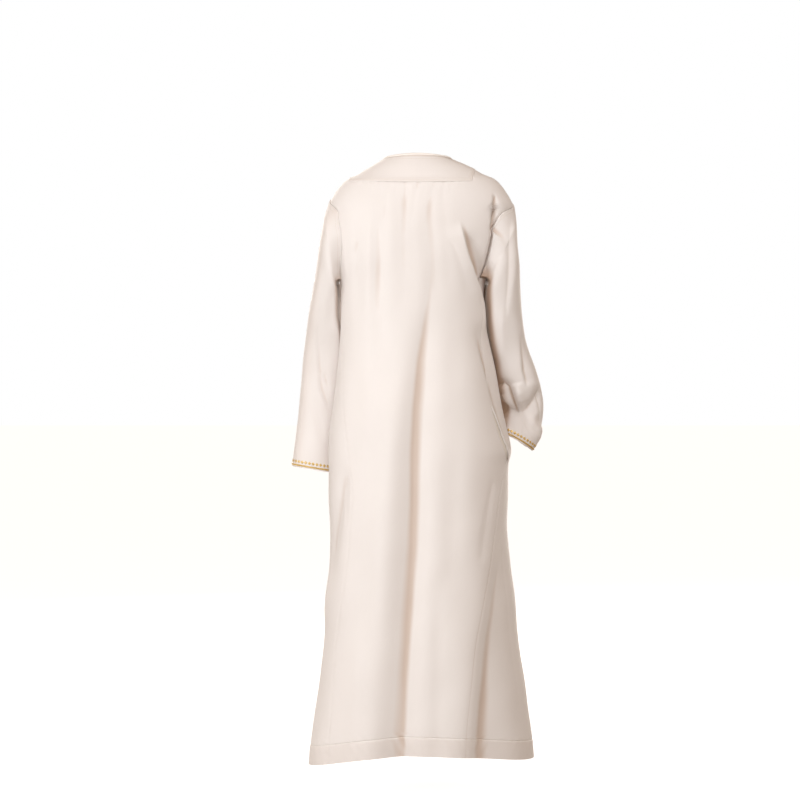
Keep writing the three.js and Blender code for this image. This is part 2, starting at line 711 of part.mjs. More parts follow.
// ---- bound neck edge -----------------------------------------------------------------------
function makeNeckBinding() {
  const turns = [
    ...acrossYoke.map((_, column) => mix(-90, 90, column / gatherSteps)),
    ...range(1, frontColumns).map((column) => frontAngle(0, column)),
  ];
  const edge = turns.map((angle) => bodyPoint(angle, 0, (bindingThickness - cloth) / 2));
  const lower = edge.map((point, i) => {
    const rise = point.clone().sub(bodyPoint(turns[i], bindingReach)).projectOnPlane(point.normal).normalize();
    return withNormal(point.clone().addScaledVector(rise, seamGap), point.normal);
  });
  const upper = edge.map((point, i) => {
    const rise = point.clone().sub(bodyPoint(turns[i], bindingReach)).normalize();
    rise.z = Math.max(rise.z, bindingRise);
    const top = point.clone().addScaledVector(rise.normalize(), bindingHeight);
    const outwards = new THREE.Vector3(point.x, point.y, 0).projectOnPlane(rise).normalize();
    return withNormal(top, outwards);
  });
  add("neck_binding", wall([upper, lower], bindingThickness, { closed: true }));
}

// ---- placket and buttons on the front --------------------------------------------------------
function rowAtFront(z) {
  const index = sections.findIndex((section) => section.frontZ <= z);
  const above = sections[index - 1];
  return index - 1 + (above.frontZ - z) / (above.frontZ - sections[index].frontZ);
}

function makePlacket() {
  const topRow = rowAtFront(sections[0].frontZ - placketStart);
  const endRow = rowAtFront(sections[0].frontZ - placketStart - slitLength);
  const grid = [topRow, ...range(Math.ceil(topRow), Math.floor(endRow)), endRow].map((row) => {
    return range(0, 4).map((column) => {
      const offset = placketWidth * (column / 4 - 0.5);
      const angle = 180 + Math.sign(offset) * angleAt(Math.abs(offset), row, offset < 0 ? "left" : "right");
      return bodyPoint(angle, row, seamGap + cloth);
    });
  });
  add("placket", wall(grid, cloth));
}

function makeButtons() {
  buttonDepths.forEach((depth, i) => {
    const row = rowAtFront(sections[0].frontZ - depth);
    const lift = seamGap + cloth + seamGap + buttonThickness / 2;
    const place = bodyPoint(180, row, lift);
    const button = add(`button_${i + 1}`,
      new THREE.CylinderGeometry(buttonDiameter / 2, buttonDiameter / 2, buttonThickness, 20), "pearl");
    button.quaternion.setFromUnitVectors(new THREE.Vector3(0, 1, 0), smoothNormal(180, row));
    button.position.copy(place);
  });
}

makeYoke();
makeBack();
makeFront();
makeGore("left");
makeGore("right");
makeSleeve("left");
makeSleeve("right");
makePocket();
makeNeckBinding();
makePlacket();
makeButtons();
makeBraid("left");
makeBraid("right");

export default group;
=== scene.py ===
"""A child's ivory kurta in its worn form, held at the shoulders, with its back to the camera.

Sizes are millimetres, turned to metres where a mesh is made. The back faces +Y and the
wearer's left is +X. Every shell lies on the form of the solid that it replaces.
"""
import math

import bmesh
import bpy
import numpy as np
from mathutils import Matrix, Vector


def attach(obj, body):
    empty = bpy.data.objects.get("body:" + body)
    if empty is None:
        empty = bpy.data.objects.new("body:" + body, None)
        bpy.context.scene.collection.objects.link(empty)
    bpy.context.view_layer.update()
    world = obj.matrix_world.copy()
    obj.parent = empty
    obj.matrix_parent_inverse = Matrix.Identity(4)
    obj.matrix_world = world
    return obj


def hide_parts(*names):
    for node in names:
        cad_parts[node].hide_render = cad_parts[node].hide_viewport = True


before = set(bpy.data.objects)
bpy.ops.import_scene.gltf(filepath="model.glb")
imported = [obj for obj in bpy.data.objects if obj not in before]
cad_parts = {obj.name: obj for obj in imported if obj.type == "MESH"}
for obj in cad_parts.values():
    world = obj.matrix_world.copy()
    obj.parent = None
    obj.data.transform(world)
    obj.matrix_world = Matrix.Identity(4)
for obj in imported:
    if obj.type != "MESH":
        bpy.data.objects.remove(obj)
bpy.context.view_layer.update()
MM = 0.001


# ---- Camera, floor and light --------------------------------------------------------------
# A long lens stands level with the middle of the garment, behind the wearer.
camera_place = (0.035, 4.2, -0.490)
camera_lens = 94.5
floor_height, floor_reach = -1.264, 60
light_aim = (0, 0, -0.55)

camera_data = bpy.data.cameras.new("camera")
camera_data.lens = camera_lens
camera_data.sensor_width = 36
camera = bpy.data.objects.new("camera", camera_data)
camera.location = camera_place
camera.rotation_euler = (math.pi / 2, 0, math.pi)
bpy.context.scene.collection.objects.link(camera)
bpy.context.scene.camera = camera
bpy.context.scene.view_settings.view_transform = "Standard"


def new_material(name):
    """A material with its nodes, its links and its main shader."""
    material = bpy.data.materials.new(name)
    material.use_nodes = True
    nodes, links = material.node_tree.nodes, material.node_tree.links
    return material, nodes, links, nodes["Principled BSDF"]


def piece_of(name, bm, material):
    """A finished mesh as an object in the scene."""
    mesh = bpy.data.meshes.new(name)
    bm.to_mesh(mesh)
    bm.free()
    mesh.materials.append(material)
    piece = bpy.data.objects.new(name, mesh)
    bpy.context.scene.collection.objects.link(piece)
    return piece


def floor_material():
    """White paper that is lit as evenly as the backdrop, with a faint shadow left on it."""
    material, nodes, links, shader = new_material("pale_floor")
    shader.inputs["Base Color"].default_value = (0.55, 0.53, 0.51, 1)
    shader.inputs["Roughness"].default_value = 0.9
    shader.inputs["Specular IOR Level"].default_value = 0.1
    paper = nodes.new("ShaderNodeEmission")
    paper.inputs["Strength"].default_value = 0.86
    paper_and_shadow = nodes.new("ShaderNodeAddShader")
    seen_or_not = nodes.new("ShaderNodeMixShader")
    path = nodes.new("ShaderNodeLightPath")
    links.new(shader.outputs[0], paper_and_shadow.inputs[0])
    links.new(paper.outputs[0], paper_and_shadow.inputs[1])
    links.new(path.outputs["Is Camera Ray"], seen_or_not.inputs[0])
    links.new(shader.outputs[0], seen_or_not.inputs[1])
    links.new(paper_and_shadow.outputs[0], seen_or_not.inputs[2])
    links.new(seen_or_not.outputs[0], nodes["Material Output"].inputs[0])
    return material


bm = bmesh.new()
bmesh.ops.create_grid(bm, x_segments=1, y_segments=1, size=floor_reach)
bmesh.ops.translate(bm, verts=bm.verts, vec=(0, 0, floor_height))
floor = piece_of("floor", bm, floor_material())

world = bpy.data.worlds.new("studio")
bpy.context.scene.world = world
world.use_nodes = True
sky = world.node_tree.nodes["Background"]
sky.inputs["Color"].default_value = (1.0, 0.74, 0.52, 1)
sky.inputs["Strength"].default_value = 0.37
backdrop = world.node_tree.nodes.new("ShaderNodeBackground")
backdrop.inputs["Color"].default_value = (1, 1, 1, 1)
backdrop.inputs["Strength"].default_value = 1.0
seen = world.node_tree.nodes.new("ShaderNodeLightPath")
either = world.node_tree.nodes.new("ShaderNodeMixShader")
world.node_tree.links.new(seen.outputs["Is Camera Ray"], either.inputs[0])
world.node_tree.links.new(sky.outputs[0], either.inputs[1])
world.node_tree.links.new(backdrop.outputs[0], either.inputs[2])
world.node_tree.links.new(either.outputs[0], world.node_tree.nodes["World Output"].inputs[0])


def soft_light(name, place, size, watts, colour):
    """A round lamp that points at the middle of the garment."""
    data = bpy.data.lights.new(name, "AREA")
    data.shape = "DISK"
    data.size = size
    data.energy = watts
    data.color = colour
    light = bpy.data.objects.new(name, data)
    light.location = place
    towards = Vector(light_aim) - Vector(place)
    light.rotation_euler = towards.to_track_quat("-Z", "Y").to_euler()
    bpy.context.scene.collection.objects.link(light)


soft_light("key", (2.0, 2.3, 0.0), 0.9, 33, (0.91, 0.965, 1.0))
soft_light("low_fill", (0.2, 3.0, -1.4), 1.4, 9, (0.93, 0.97, 1.0))
soft_light("back_fill", (0.6, 4.2, -1.0), 2.0, 22, (0.92, 0.97, 1.0))
soft_light("top", (-0.7, 2.3, 1.9), 1.6, 49, (0.95, 0.975, 1.0))
soft_light("left_side", (3.3, 0.7, -0.6), 1.2, 17, (0.97, 0.98, 1.0))
soft_light("far_side", (1.2, -3.2, 0.8), 2.4, 62, (1.0, 0.97, 0.93))
soft_light("far_low", (-1.6, -3.0, -0.6), 2.0, 26, (1.0, 0.96, 0.91))


# ---- Back ---------------------------------------------------------------------------------
# One straight width of ivory satin from the yoke to the hem, gathered into the yoke, with a
# narrow ear on each side of the yoke. Its long sides are sewn to the gores, and its lower edge
# is turned up once and stitched.
section_names = ["leftZ", "rightZ", "backZ", "frontZ", "left", "right", "back", "front"]
section_sizes = [
    (-9, -9, -6, -52, 69, 69, 50, 64),
    (-24, -23, -24, -64, 95, 103, 62, 74),
    (-39, -38, -43, -78, 119, 129, 72, 83),
    (-55, -54, -62, -94, 148, 161, 80, 90),
    (-88, -97, -92, -118, 172, 190, 86, 96),
    (-112, -118, -120, -142, 176, 190, 90, 101),
    (-138, -142, -146, -166, 178, 188, 92, 105),
    (-166, -170, -174, -190, 176, 180, 93, 108),
    (-208, -208, -212, -222, 168, 158, 93, 110),
    (-252, -249, -252, -254, 157, 137, 92, 110),
    (-300, -300, -300, -300, 155, 133, 91, 110),
    (-370, -370, -370, -370, 154, 143, 93, 111),
    (-440, -440, -440, -440, 161, 157, 100, 112),
    (-500, -500, -500, -500, 169, 168, 107, 114),
    (-545, -545, -545, -545, 175, 178, 111, 116),
    (-590, -590, -590, -590, 177, 187, 115, 118),
    (-620, -620, -620, -620, 177, 183, 117, 120),
    (-680, -680, -680, -680, 177, 182, 120, 124),
    (-750, -750, -750, -750, 175, 179, 124, 127),
    (-820, -820, -820, -820, 178, 186, 127, 131),
    (-890, -890, -890, -890, 185, 195, 131, 135),
    (-960, -960, -960, -960, 186, 202, 135, 139),
    (-1030, -1030, -1030, -1030, 193, 212, 139, 143),
    (-1095, -1095, -1090, -1090, 202, 220, 143, 147),
    (-1145, -1140, -1125, -1135, 209, 226, 146, 150),
    (-1178, -1166, -1143, -1159, 213, 229, 147, 151),
    (-1216, -1203, -1180, -1196, 216, 232, 149, 153),
]
seam_names = ["backLeft", "backRight", "frontLeft", "frontRight"]
seam_places = [
    (153, 130, 153, 131), (150, 125, 150, 128), (147, 126, 146, 137), (149, 138, 148, 151),
    (148, 145, 147, 161), (144, 159, 144, 169), (139, 174, 139, 176), (136, 177, 134, 174),
    (129, 163, 127, 173), (134, 153, 120, 170), (141, 143, 113, 176), (151, 129, 107, 185),
    (160, 114, 101, 193), (166, 106, 97, 204), (171, 99, 93, 213), (174, 96, 91, 220),
    (176, 95, 90, 223), (178, 93, 89, 226),
]
armhole_names = ["leftSide", "rightSide"]
armhole_halves = [(0, 0), (25, 27), (29, 35), (31, 36), (25, 29), (12, 17)]
yoke_row, shoulder_row, armpit_row = 3, 4, 9
hem_row = len(section_sizes) - 1
hem_stitch_row = hem_row - 1
yoke_corners = {"left": (138, 2.6), "right": (107, 1.5)}


def smooth_column(names, table, name, row):
    """A value of a table between its rows, on a smooth curve through them."""
    values = np.array([line[names.index(name)] for line in table], float)
    row = np.clip(np.asarray(row, float), 0, len(values) - 1)
    first = np.clip(np.floor(row).astype(int), 0, len(values) - 2)
    t = row - first
    before = values[np.maximum(first - 1, 0)]
    start, end = values[first], values[first + 1]
    after = values[np.minimum(first + 2, len(values) - 1)]
    slope_start, slope_end = (end - before) / 2, (after - start) / 2
    t2, t3 = t * t, t * t * t
    return ((2 * t3 - 3 * t2 + 1) * start + (t3 - 2 * t2 + t) * slope_start
            + (3 * t2 - 2 * t3) * end + (t3 - t2) * slope_end)


def section(name, row):
    return smooth_column(section_names, section_sizes, name, row)


def mix(a, b, t):
    return a + (b - a) * t


def ease(t):
    t = np.clip(t, 0, 1)
    return t * t * (3 - 2 * t)


def body_form(angle, row):
    """The plain form of the worn body: angle 0 is the middle of the back, 90 the left side."""
    s, c = np.sin(np.radians(angle)), np.cos(np.radians(angle))
    across = s * np.where(s > 0, section("left", row), section("right", row))
    deep = c * np.where(c > 0, section("back", row), section("front", row))
    side = np.where(s > 0, section("leftZ", row), section("rightZ", row))
    middle = np.where(c > 0, section("backZ", row), section("frontZ", row))
    return np.stack([across, deep, mix(middle, side, s * s)], axis=-1)


def unit(vectors):
    return vectors / np.maximum(np.linalg.norm(vectors, axis=-1, keepdims=True), 1e-9)


def body_normal(angle, row):
    up, down = np.maximum(0, row - 0.05), np.minimum(hem_row, row + 0.05)
    along = body_form(angle, down) - body_form(angle, up)
    around = body_form(angle + 0.5, row) - body_form(angle - 0.5, row)
    return unit(np.cross(around, along))


# Folds: where each starts and ends as seen from behind or from the front, how far it bows to
# the left, its half width and its depth at both ends.
back_folds = [
    (-54, -240, -12, -1400, 5, 18, 34, 2, 5),
    (-22, -205, 54, -1400, 4, 14, 27, -1, -8),
    (24, -300, 122, -1400, 0, 20, 36, 2, 8),
    (-88, -160, -102, -1400, 0, 40, 50, 4, 8),
    (66, -64, 76, -430, 2, 9, 14, -0.8, -0.9),
    (30, -64, 26, -330, 0, 8, 13, -1.0, -0.7),
    (-18, -64, -38, -300, 0, 8, 12, -1.1, -0.7),
    (-50, -64, -62, -290, 0, 8, 11, -0.7, -0.6),
    (94, -76, 100, -380, 0, 9, 13, 0.7, 0.8),
    (50, -68, 56, -400, 0, 9, 13, 0.8, 0.8),
    (6, -68, -8, -300, 0, 9, 12, 0.9, 0.6),
]
# Finer creases over the folds.
back_creases = [
    (-60, -170, -96, -290, -6, 6, 9, -1.2, -1.0),
    (112, -170, 146, -262, 6, 7, 8, -0.7, -0.6),
    (-150, -640, -120, -820, 3, 6, 9, -1.2, -1.2),
    (-8, -300, 20, -760, 2, 11, 14, 1.0, 1.0),
    (118, -420, 124, -640, 0, 13, 16, -1.2, -1.2),
    (-84, -520, -60, -880, 2, 16, 20, -1.4, -1.4),
    (86, -520, 118, -1010, 0, 17, 24, -1.6, -2.6),
    (110, -900, 138, -1300, 0, 14, 18, 1.5, 2.5),
    (-40, -800, -34, -1300, 0, 14, 18, -1.2, -2.4),
]
front_folds = [
    (-40, -300, -106, -1400, 4, 12, 30, -5, -20),
    (20, -320, 36, -1400, -6, 14, 30, -4, -14),
    (70, -360, 128, -1400, 0, 12, 28, -4, -15),
    (-8, -330, -34, -1400, 0, 16, 34, 4, 9),
    (-150, -620, -212, -1400, 0, 14, 26, -5, -12),
    (120, -160, 96, -330, 0, 12, 15, -2.4, -2.2),
    (-110, -160, -90, -330, 0, 12, 15, -2.4, -2.2),
]
front_creases = [
    (128, -170, 84, -300, -6, 6, 9, -1.6, -1.1),
    (-128, -170, -84, -300, 6, 6, 9, -1.6, -1.1),
    (-60, -380, -84, -760, 3, 7, 10, -1.8, -1.6),
    (44, -300, 60, -700, 2, 8, 10, -1.8, -1.6),
    (96, -420, 118, -760, 0, 8, 10, 1.8, 1.4),
    (-112, -330, -126, -560, 0, 9, 10, -2.0, -1.6),
]
fold_fade = 0.16
# Sharp creases, each with its line of points from the top down as seen from behind, the width of
# its slope on the left and on the right, its depth from end to end, and how rounded it is.
back_sharp = [
    ([(-30, -170), (-23, -294), (-2, -414), (6, -510), (9, -590), (9, -770), (17, -900),
      (27, -1022), (31, -1146), (34, -1450)],
     [8, 62], [20, 95], [-1, -4, -10, -14, -17, -20, -23, -25, -26], 1.4),
    ([(-80, -136), (-86, -158), (-96, -198), (-114, -255), (-130, -314), (-142, -362)],
     [24, 30], [2.2, 4.5], [4, 9, 11, 12, 9, 4], 1.2),
    ([(-95, -156), (-108, -202), (-128, -258), (-143, -312), (-152, -366)], [8, 11], [20, 28],
     [-3, -7, -9, -8, -3]),
    ([(-113, -350), (-128, -406), (-147, -472), (-162, -528), (-176, -590)],
     [5, 6], [10, 14], [-2, -6, -7, -6, -3]),
    ([(-190, -680), (-178, -754), (-163, -836), (-144, -950), (-132, -1072), (-124, -1154),
      (-118, -1450)], [20, 34], [60, 100], [-2, -9, -14, -17, -19, -19], 1.6),
    ([(-153, -80), (-151, -104), (-150, -136), (-147, -162)], [2.5, 3], [4.5, 6],
     [-2, -8, -12, -12], 1.3),
    ([(141, -614), (155, -710), (169, -786), (181, -860)], [12, 16], [9, 12], [-2, -5, -5, -1.5]),
    ([(80, -130), (78, -220), (84, -330)], [9, 10], [7, 9], [-0.8, -1.8, -0.8]),
    ([(122, -130), (121, -220), (118, -330)], [8, 9], [8, 9], [-0.8, -1.8, -0.8]),
    ([(97, -130), (97, -220), (100, -330)], [8, 9], [8, 9], [0.6, 1.6, 0.6]),
    ([(138, -626), (141, -690), (139, -740)], [3, 3], [4, 4], [-0.6, -1.2, -0.6]),
]
sharp_fade = 0.14
# Gathers at the yoke: place, lean to the left as they fall, length and depth.
gathers = [
    (78, 3, 66, 0.8), (59, 3, 76, 1.0), (41, 2, 92, 1.3), (25, 1, 104, 1.8),
    (1, 14, 96, 1.7), (-32, 14, 88, 1.2), (-52, 8, 62, 0.8),
]
gather_half_width = 6.5
small_gathers = [
    (92, 2, 40, 0.5), (68, 2, 44, 0.6), (50, 2, 52, 0.7), (33, 2, 60, 0.9), (14, 6, 60, 0.9),
    (-14, 9, 54, 0.7), (-42, 8, 48, 0.6), (-66, 5, 40, 0.5),
]
small_gather_half_width = 3.4


def fold_heights(folds, x, z):
    height = np.zeros_like(x)
    for from_x, from_z, to_x, to_z, bow, width_from, width_to, depth_from, depth_to in folds:
        t = (z - from_z) / (to_z - from_z)
        centre = mix(from_x, to_x, t) + bow * 4 * t * (1 - t)
        width = np.maximum(mix(width_from, width_to, t), 1)
        fade = ease(t / fold_fade) * ease((1 - t) / fold_fade)
        height += mix(depth_from, depth_to, t) * fade * np.exp(-(((x - centre) / width) ** 2))
    return height


def crease_heights(creases, x, z):
    """Heights of creases that have a slope of its own width on each side."""
    total = np.zeros_like(x)
    for line, left, right, depths, *power in creases:
        points = np.array(line, float)
        pieces = np.diff(points, axis=0)
        sizes = np.hypot(pieces[:, 0], pieces[:, 1])
        nearest = np.full(x.shape, np.inf)
        place, side = np.zeros_like(x), np.zeros_like(x)
        run = 0.0
        for (ax, az), (dx, dz), size in zip(points, pieces, sizes):
            along = np.clip(((x - ax) * dx + (z - az) * dz) / size ** 2, 0, 1)
            distance = np.hypot(x - ax - along * dx, z - az - along * dz)
            closer = distance < nearest
            nearest = np.where(closer, distance, nearest)
            place = np.where(closer, (run + along * size) / sizes.sum(), place)
            side = np.where(closer, dx * (z - az) - dz * (x - ax), side)
            run += size
        width = np.where(side > 0, mix(left[0], left[1], place), mix(right[0], right[1], place))
        depth = np.interp(place, np.linspace(0, 1, len(depths)), depths)
        fade = ease(place / sharp_fade) * ease((1 - place) / sharp_fade)
        total += depth * fade * np.exp(-((nearest / width) ** (power[0] if power else 2)))
    return total


def gather_heights(table, half_width, x, z):
    top = section("backZ", yoke_row)
    height = np.zeros_like(x)
    for place, lean, length, depth in table:
        t = (top - z) / length
        fade = np.cos(math.pi / 2 * np.clip(t, 0, 1)) * ((t > -0.05) & (t < 1))
        spread = half_width * (0.75 + 0.6 * np.clip(t, 0, 1))
        height -= depth * fade * np.exp(-(((x - place - lean * t) / spread) ** 2))
    return height


def soft_swell(x, z):
    """The slow unevenness of limp cloth."""
    height = np.zeros_like(x)
    waves = [(0.021, 0.006, 0.4, 0.5), (-0.013, 0.011, 2.1, 0.5), (0.034, -0.004, 4.0, 0.35),
             (0.008, 0.019, 1.2, 0.4), (-0.048, 0.009, 5.2, 0.22), (0.027, 0.031, 3.3, 0.2)]
    for along_x, along_z, phase, size in waves:
        height += size * np.sin(along_x * x * 2 + along_z * z * 2 + phase)
    return height


def body_cloth(angle, row, below_yoke=True):
    """Points and outward directions of the folded cloth of the body."""
    form = body_form(angle, row)
    facing = np.cos(np.radians(angle))
    x, z = form[..., 0], form[..., 2]
    behind = fold_heights(back_folds + back_creases, x, z) + crease_heights(back_sharp, x, z)
    before = fold_heights(front_folds + front_creases, x, z)
    height = np.where(facing > 0, behind, before) * np.clip(np.abs(facing) * 3, 0, 1)
    height += soft_swell(x, z) * ease((row - 3) / 4)
    if below_yoke:
        pleats = gather_heights(gathers, gather_half_width, x, z)
        pleats += gather_heights(small_gathers, small_gather_half_width, x, z)
        height += np.where(facing > 0, pleats, 0)
    normal = body_normal(angle, row)
    return form + normal * height[..., None], normal


def angle_at(distance, row, side):
    return np.degrees(np.arcsin(np.clip(distance / section(side, row), -1, 1)))


def seam_angle(name, row, side):
    place = smooth_column(seam_names, seam_places, name, row - armpit_row)
    return angle_at(place, row, side)


def armhole_half(name, row):
    return smooth_column(armhole_names, armhole_halves, name, row - shoulder_row)


def panel_edge(name, row):
    """Angle of one long edge of a panel, from the shoulder line down to the hem."""
    side = "left" if name.endswith("Left") else "right"
    opening = armhole_half(side + "Side", row)
    seam = 90 - seam_angle(name, row, side)
    half = np.where(row <= shoulder_row, 0, np.where(row < armpit_row, opening, seam))
    return {"backLeft": 90 - half, "backRight": -90 + half,
            "frontLeft": 90 + half, "frontRight": 270 - half}[name]


def lengths(points, axis):
    """Run of length along the rows or the columns of a sheet of points."""
    steps = np.linalg.norm(np.diff(points, axis=axis), axis=-1)
    pad = [(0, 0), (0, 0)]
    pad[axis] = (1, 0)
    return np.cumsum(np.pad(steps, pad), axis=axis)


seam_roll_depth = 0.45
seam_roll_width = 2.2
pucker_depth = 0.4
pucker_reach = 8.0


def seam_relief(from_edge, along):
    """Cloth dips into a seam, with small uneven puckers beside the stitches."""
    roll = -seam_roll_depth * np.exp(-((from_edge / seam_roll_width) ** 2))
    ripple = np.sin(along / 2.6) + 0.7 * np.sin(along / 1.7 + 1.3) * np.sin(along / 23.0)
    return roll + pucker_depth * ripple * np.exp(-from_edge / pucker_reach) * 0.5


# The back falls into a deep crease along the right armhole, by section from the shoulder down.
armhole_crease = {"left": [0, 0, 0, 0, -1, -2], "right": [0, 0, -6, -17, -18, -12]}
armhole_crease_width = 3.4
to_the_back = np.array([0.0, 1.0, 0.0])


def armhole_depth(side, row):
    sections_down = np.arange(shoulder_row, armpit_row + 1)
    return np.interp(row, sections_down, armhole_crease[side], left=0, right=0)


def sewn(points, normal, top=False, row=None):
    """Both long edges of a panel as they lie in their seams, and its top edge if asked."""
    across, down = lengths(points, 1), lengths(points, 0)
    relief, fall = np.zeros(across.shape), np.zeros(across.shape)
    if row is not None:
        for side, away in (("right", across), ("left", across[:, -1:] - across)):
            past = np.where(row > armpit_row, np.exp(-(row - armpit_row) / 0.35), 1)
            depth = np.where(row > armpit_row, armhole_crease[side][-1], armhole_depth(side, row))
            fall += depth * past * np.exp(-((away / armhole_crease_width) ** 2))
    relief += seam_relief(across, down)
    relief += seam_relief(across[:, -1:] - across, down + 40)
    if top:
        relief += seam_relief(down, across)
    return points + normal * relief[..., None] + to_the_back * fall[..., None]


def hem_relief(row, along):
    """The turned-up hem stands a little proud below its stitching, with slanting ripples."""
    below = ease((row - hem_stitch_row) / 0.12)
    groove = -0.9 * np.exp(-(((row - hem_stitch_row) / 0.04) ** 2))
    slant = np.sin((along + 24 * (row - hem_stitch_row)) / 3.4) * np.sin(along / 31 + 0.8)
    near = np.exp(-np.abs(row - hem_stitch_row) / 0.7) * (row > hem_stitch_row - 0.4)
    return 0.5 * below + groove + 0.45 * slant * near


# Painted shade in hollows: depth at which the warm darkening starts, further depth to its full
# strength, and a limit.
hollow_from, hollow_full, hollow_most = 0.3, 3.6, 0.5
hem_tone = 0.08


def hollow_shade_and_hem_tint(points, normal, row=None):
    """Painted shade: how far the cloth is darkened towards warm brown in hollows between higher
    cloth, and a slight tint in the hem.
    """
    reaches = (2, 4, 6)
    depth = np.zeros(points.shape[:2])
    for reach in reaches:
        wide = np.pad(points, ((0, 0), (reach, reach), (0, 0)), mode="edge")
        beside = (wide[:, :-2 * reach] + wide[:, 2 * reach:]) / 2
        depth += ((beside - points) * normal).sum(axis=-1) / len(reaches)
    tone = np.clip((depth - hollow_from) / hollow_full, 0, hollow_most)
    if row is None:
        return tone
    return np.maximum(tone, hem_tone * ease((row - hem_stitch_row) / 0.1))


def satin_material(name, colour):
    """Ivory satin-faced cloth: fine weave, long floats that catch the light, faint slubs, and
    painted warm shade by a per-point strength.
    """
    material, nodes, links, shader = new_material(name)
    place = nodes.new("ShaderNodeUVMap")
    place.uv_map = "cloth"

    def stretched_noise(scale_x, scale_y, detail):
        mapping = nodes.new("ShaderNodeMapping")
        mapping.inputs["Scale"].default_value = (scale_x, scale_y, 1)
        noise = nodes.new("ShaderNodeTexNoise")
        noise.inputs["Scale"].default_value = 1
        noise.inputs["Detail"].default_value = detail
        links.new(place.outputs[0], mapping.inputs[0])
        links.new(mapping.outputs[0], noise.inputs["Vector"])
        return noise.outputs["Fac"]

    slub = stretched_noise(700, 30, 3)
    cloud = stretched_noise(9, 6, 3)
    tone = nodes.new("ShaderNodeMix")
    tone.data_type = "RGBA"
    darker = tuple(c * 0.945 for c in colour)
    tone.inputs["A"].default_value = (*darker, 1)
    tone.inputs["B"].default_value = (*colour, 1)
    both = nodes.new("ShaderNodeMath")
    both.operation = "MULTIPLY_ADD"
    both.inputs[1].default_value = 0.5
    links.new(slub, both.inputs[0])
    links.new(cloud, both.inputs[2])
    links.new(both.outputs[0], tone.inputs["Factor"])
    # Painted shade: a per-point strength mixes the colour towards warm brown in hollows, creases
    # and beside the body.
    painted_shade = nodes.new("ShaderNodeAttribute")
    painted_shade.attribute_name = "painted_shade"
    shade_tint = nodes.new("ShaderNodeMix")
    shade_tint.data_type = "RGBA"
    shade_tint.inputs["B"].default_value = (0.48, 0.30, 0.18, 1)
    links.new(painted_shade.outputs["Fac"], shade_tint.inputs["Factor"])
    links.new(tone.outputs["Result"], shade_tint.inputs["A"])
    links.new(shade_tint.outputs["Result"], shader.inputs["Base Color"])

    weave_map = nodes.new("ShaderNodeMapping")
    weave_map.inputs["Rotation"].default_value = (0, 0, 0.46)
    twill = nodes.new("ShaderNodeTexWave")
    twill.inputs["Scale"].default_value = 320
    twill.inputs["Distortion"].default_value = 1.2
    twill.inputs["Detail"].default_value = 1
    links.new(place.outputs[0], weave_map.inputs[0])
    links.new(weave_map.outputs[0], twill.inputs["Vector"])
    relief = nodes.new("ShaderNodeMath")
    relief.operation = "MULTIPLY_ADD"
    relief.inputs[1].default_value = 0.6
    links.new(twill.outputs["Fac"], relief.inputs[0])
    links.new(slub, relief.inputs[2])
    bump = nodes.new("ShaderNodeBump")
    bump.inputs["Strength"].default_value = 0.22
    bump.inputs["Distance"].default_value = 0.00025
    links.new(relief.outputs[0], bump.inputs["Height"])
    links.new(bump.outputs[0], shader.inputs["Normal"])

    rough = nodes.new("ShaderNodeMapRange")
    rough.inputs["To Min"].default_value = 0.42
    rough.inputs["To Max"].default_value = 0.56
    links.new(slub, rough.inputs["Value"])
    links.new(rough.outputs[0], shader.inputs["Roughness"])
    shader.inputs["Sheen Weight"].default_value = 0.25
    shader.inputs["Sheen Roughness"].default_value = 0.45
    shader.inputs["Specular IOR Level"].default_value = 0.42
    return material


ivory = satin_material("ivory_satin", (0.835, 0.784, 0.760))


def make_cloth(name, points, material, thickness=1.2, around=False, flip=False, painted_shade=None):
    """A sheet of cloth over a grid of points, with its own measure of length as UV and a per-point
    strength of painted shade.
    """
    row_count, column_count = points.shape[:2]
    bm = bmesh.new()
    bmesh.ops.create_grid(bm, x_segments=column_count - 1, y_segments=row_count - 1, size=1)
    across, down = lengths(points, 1), lengths(points, 0)
    across = across + (across[:, -1:].mean() - across[:, -1:]) / 2
    flat_map = np.stack([across, -down], axis=-1).reshape(-1, 2) * MM
    for vert, place in zip(bm.verts, points.reshape(-1, 3) * MM):
        vert.co = place
    # Strength of the painted shade at each point, read by the material.
    deep = bm.verts.layers.float.new("painted_shade")
    if painted_shade is not None:
        for vert, value in zip(bm.verts, painted_shade.ravel()):
            vert[deep] = float(value)
    layer = bm.loops.layers.uv.new("cloth")
    bm.verts.index_update()
    for face in bm.faces:
        face.smooth = True
        for loop in face.loops:
            loop[layer].uv = flat_map[loop.vert.index]
    if around:
        bmesh.ops.remove_doubles(bm, verts=bm.verts, dist=1e-6)
    for edge in bm.edges:
        edge.smooth = not edge.is_boundary
    if flip:
        bmesh.ops.reverse_faces(bm, faces=bm.faces)
    piece = piece_of(name, bm, material)
    if thickness:
        layer_of_cloth = piece.modifiers.new("cloth", "SOLIDIFY")
        layer_of_cloth.thickness = thickness * MM
        layer_of_cloth.offset = -1
        layer_of_cloth.use_even_offset = False
    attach(piece, "root")
    return piece


def back_top(angle):
    """Section at which the back's top edge lies: the yoke seam, then its short side seams."""
    result = np.full(angle.shape, float(yoke_row))
    for i, a in enumerate(angle):
        side = "left" if a > 0 else "right"
        distance, ridge = yoke_corners[side]
        if abs(a) <= angle_at(distance, yoke_row, side):
            continue
        low, high = ridge, float(yoke_row)
        start = section(side, ridge)
        for _ in range(40):
            middle = (low + high) / 2
            seam = mix(start, distance, (middle - ridge) / (yoke_row - ridge))
            if angle_at(seam, middle, side) > abs(a):
                low = middle
            else:
                high = middle
        result[i] = ridge if abs(a) >= 90 else (low + high) / 2
    return result


back_columns = 168
top_steps, long_steps = 18, 250
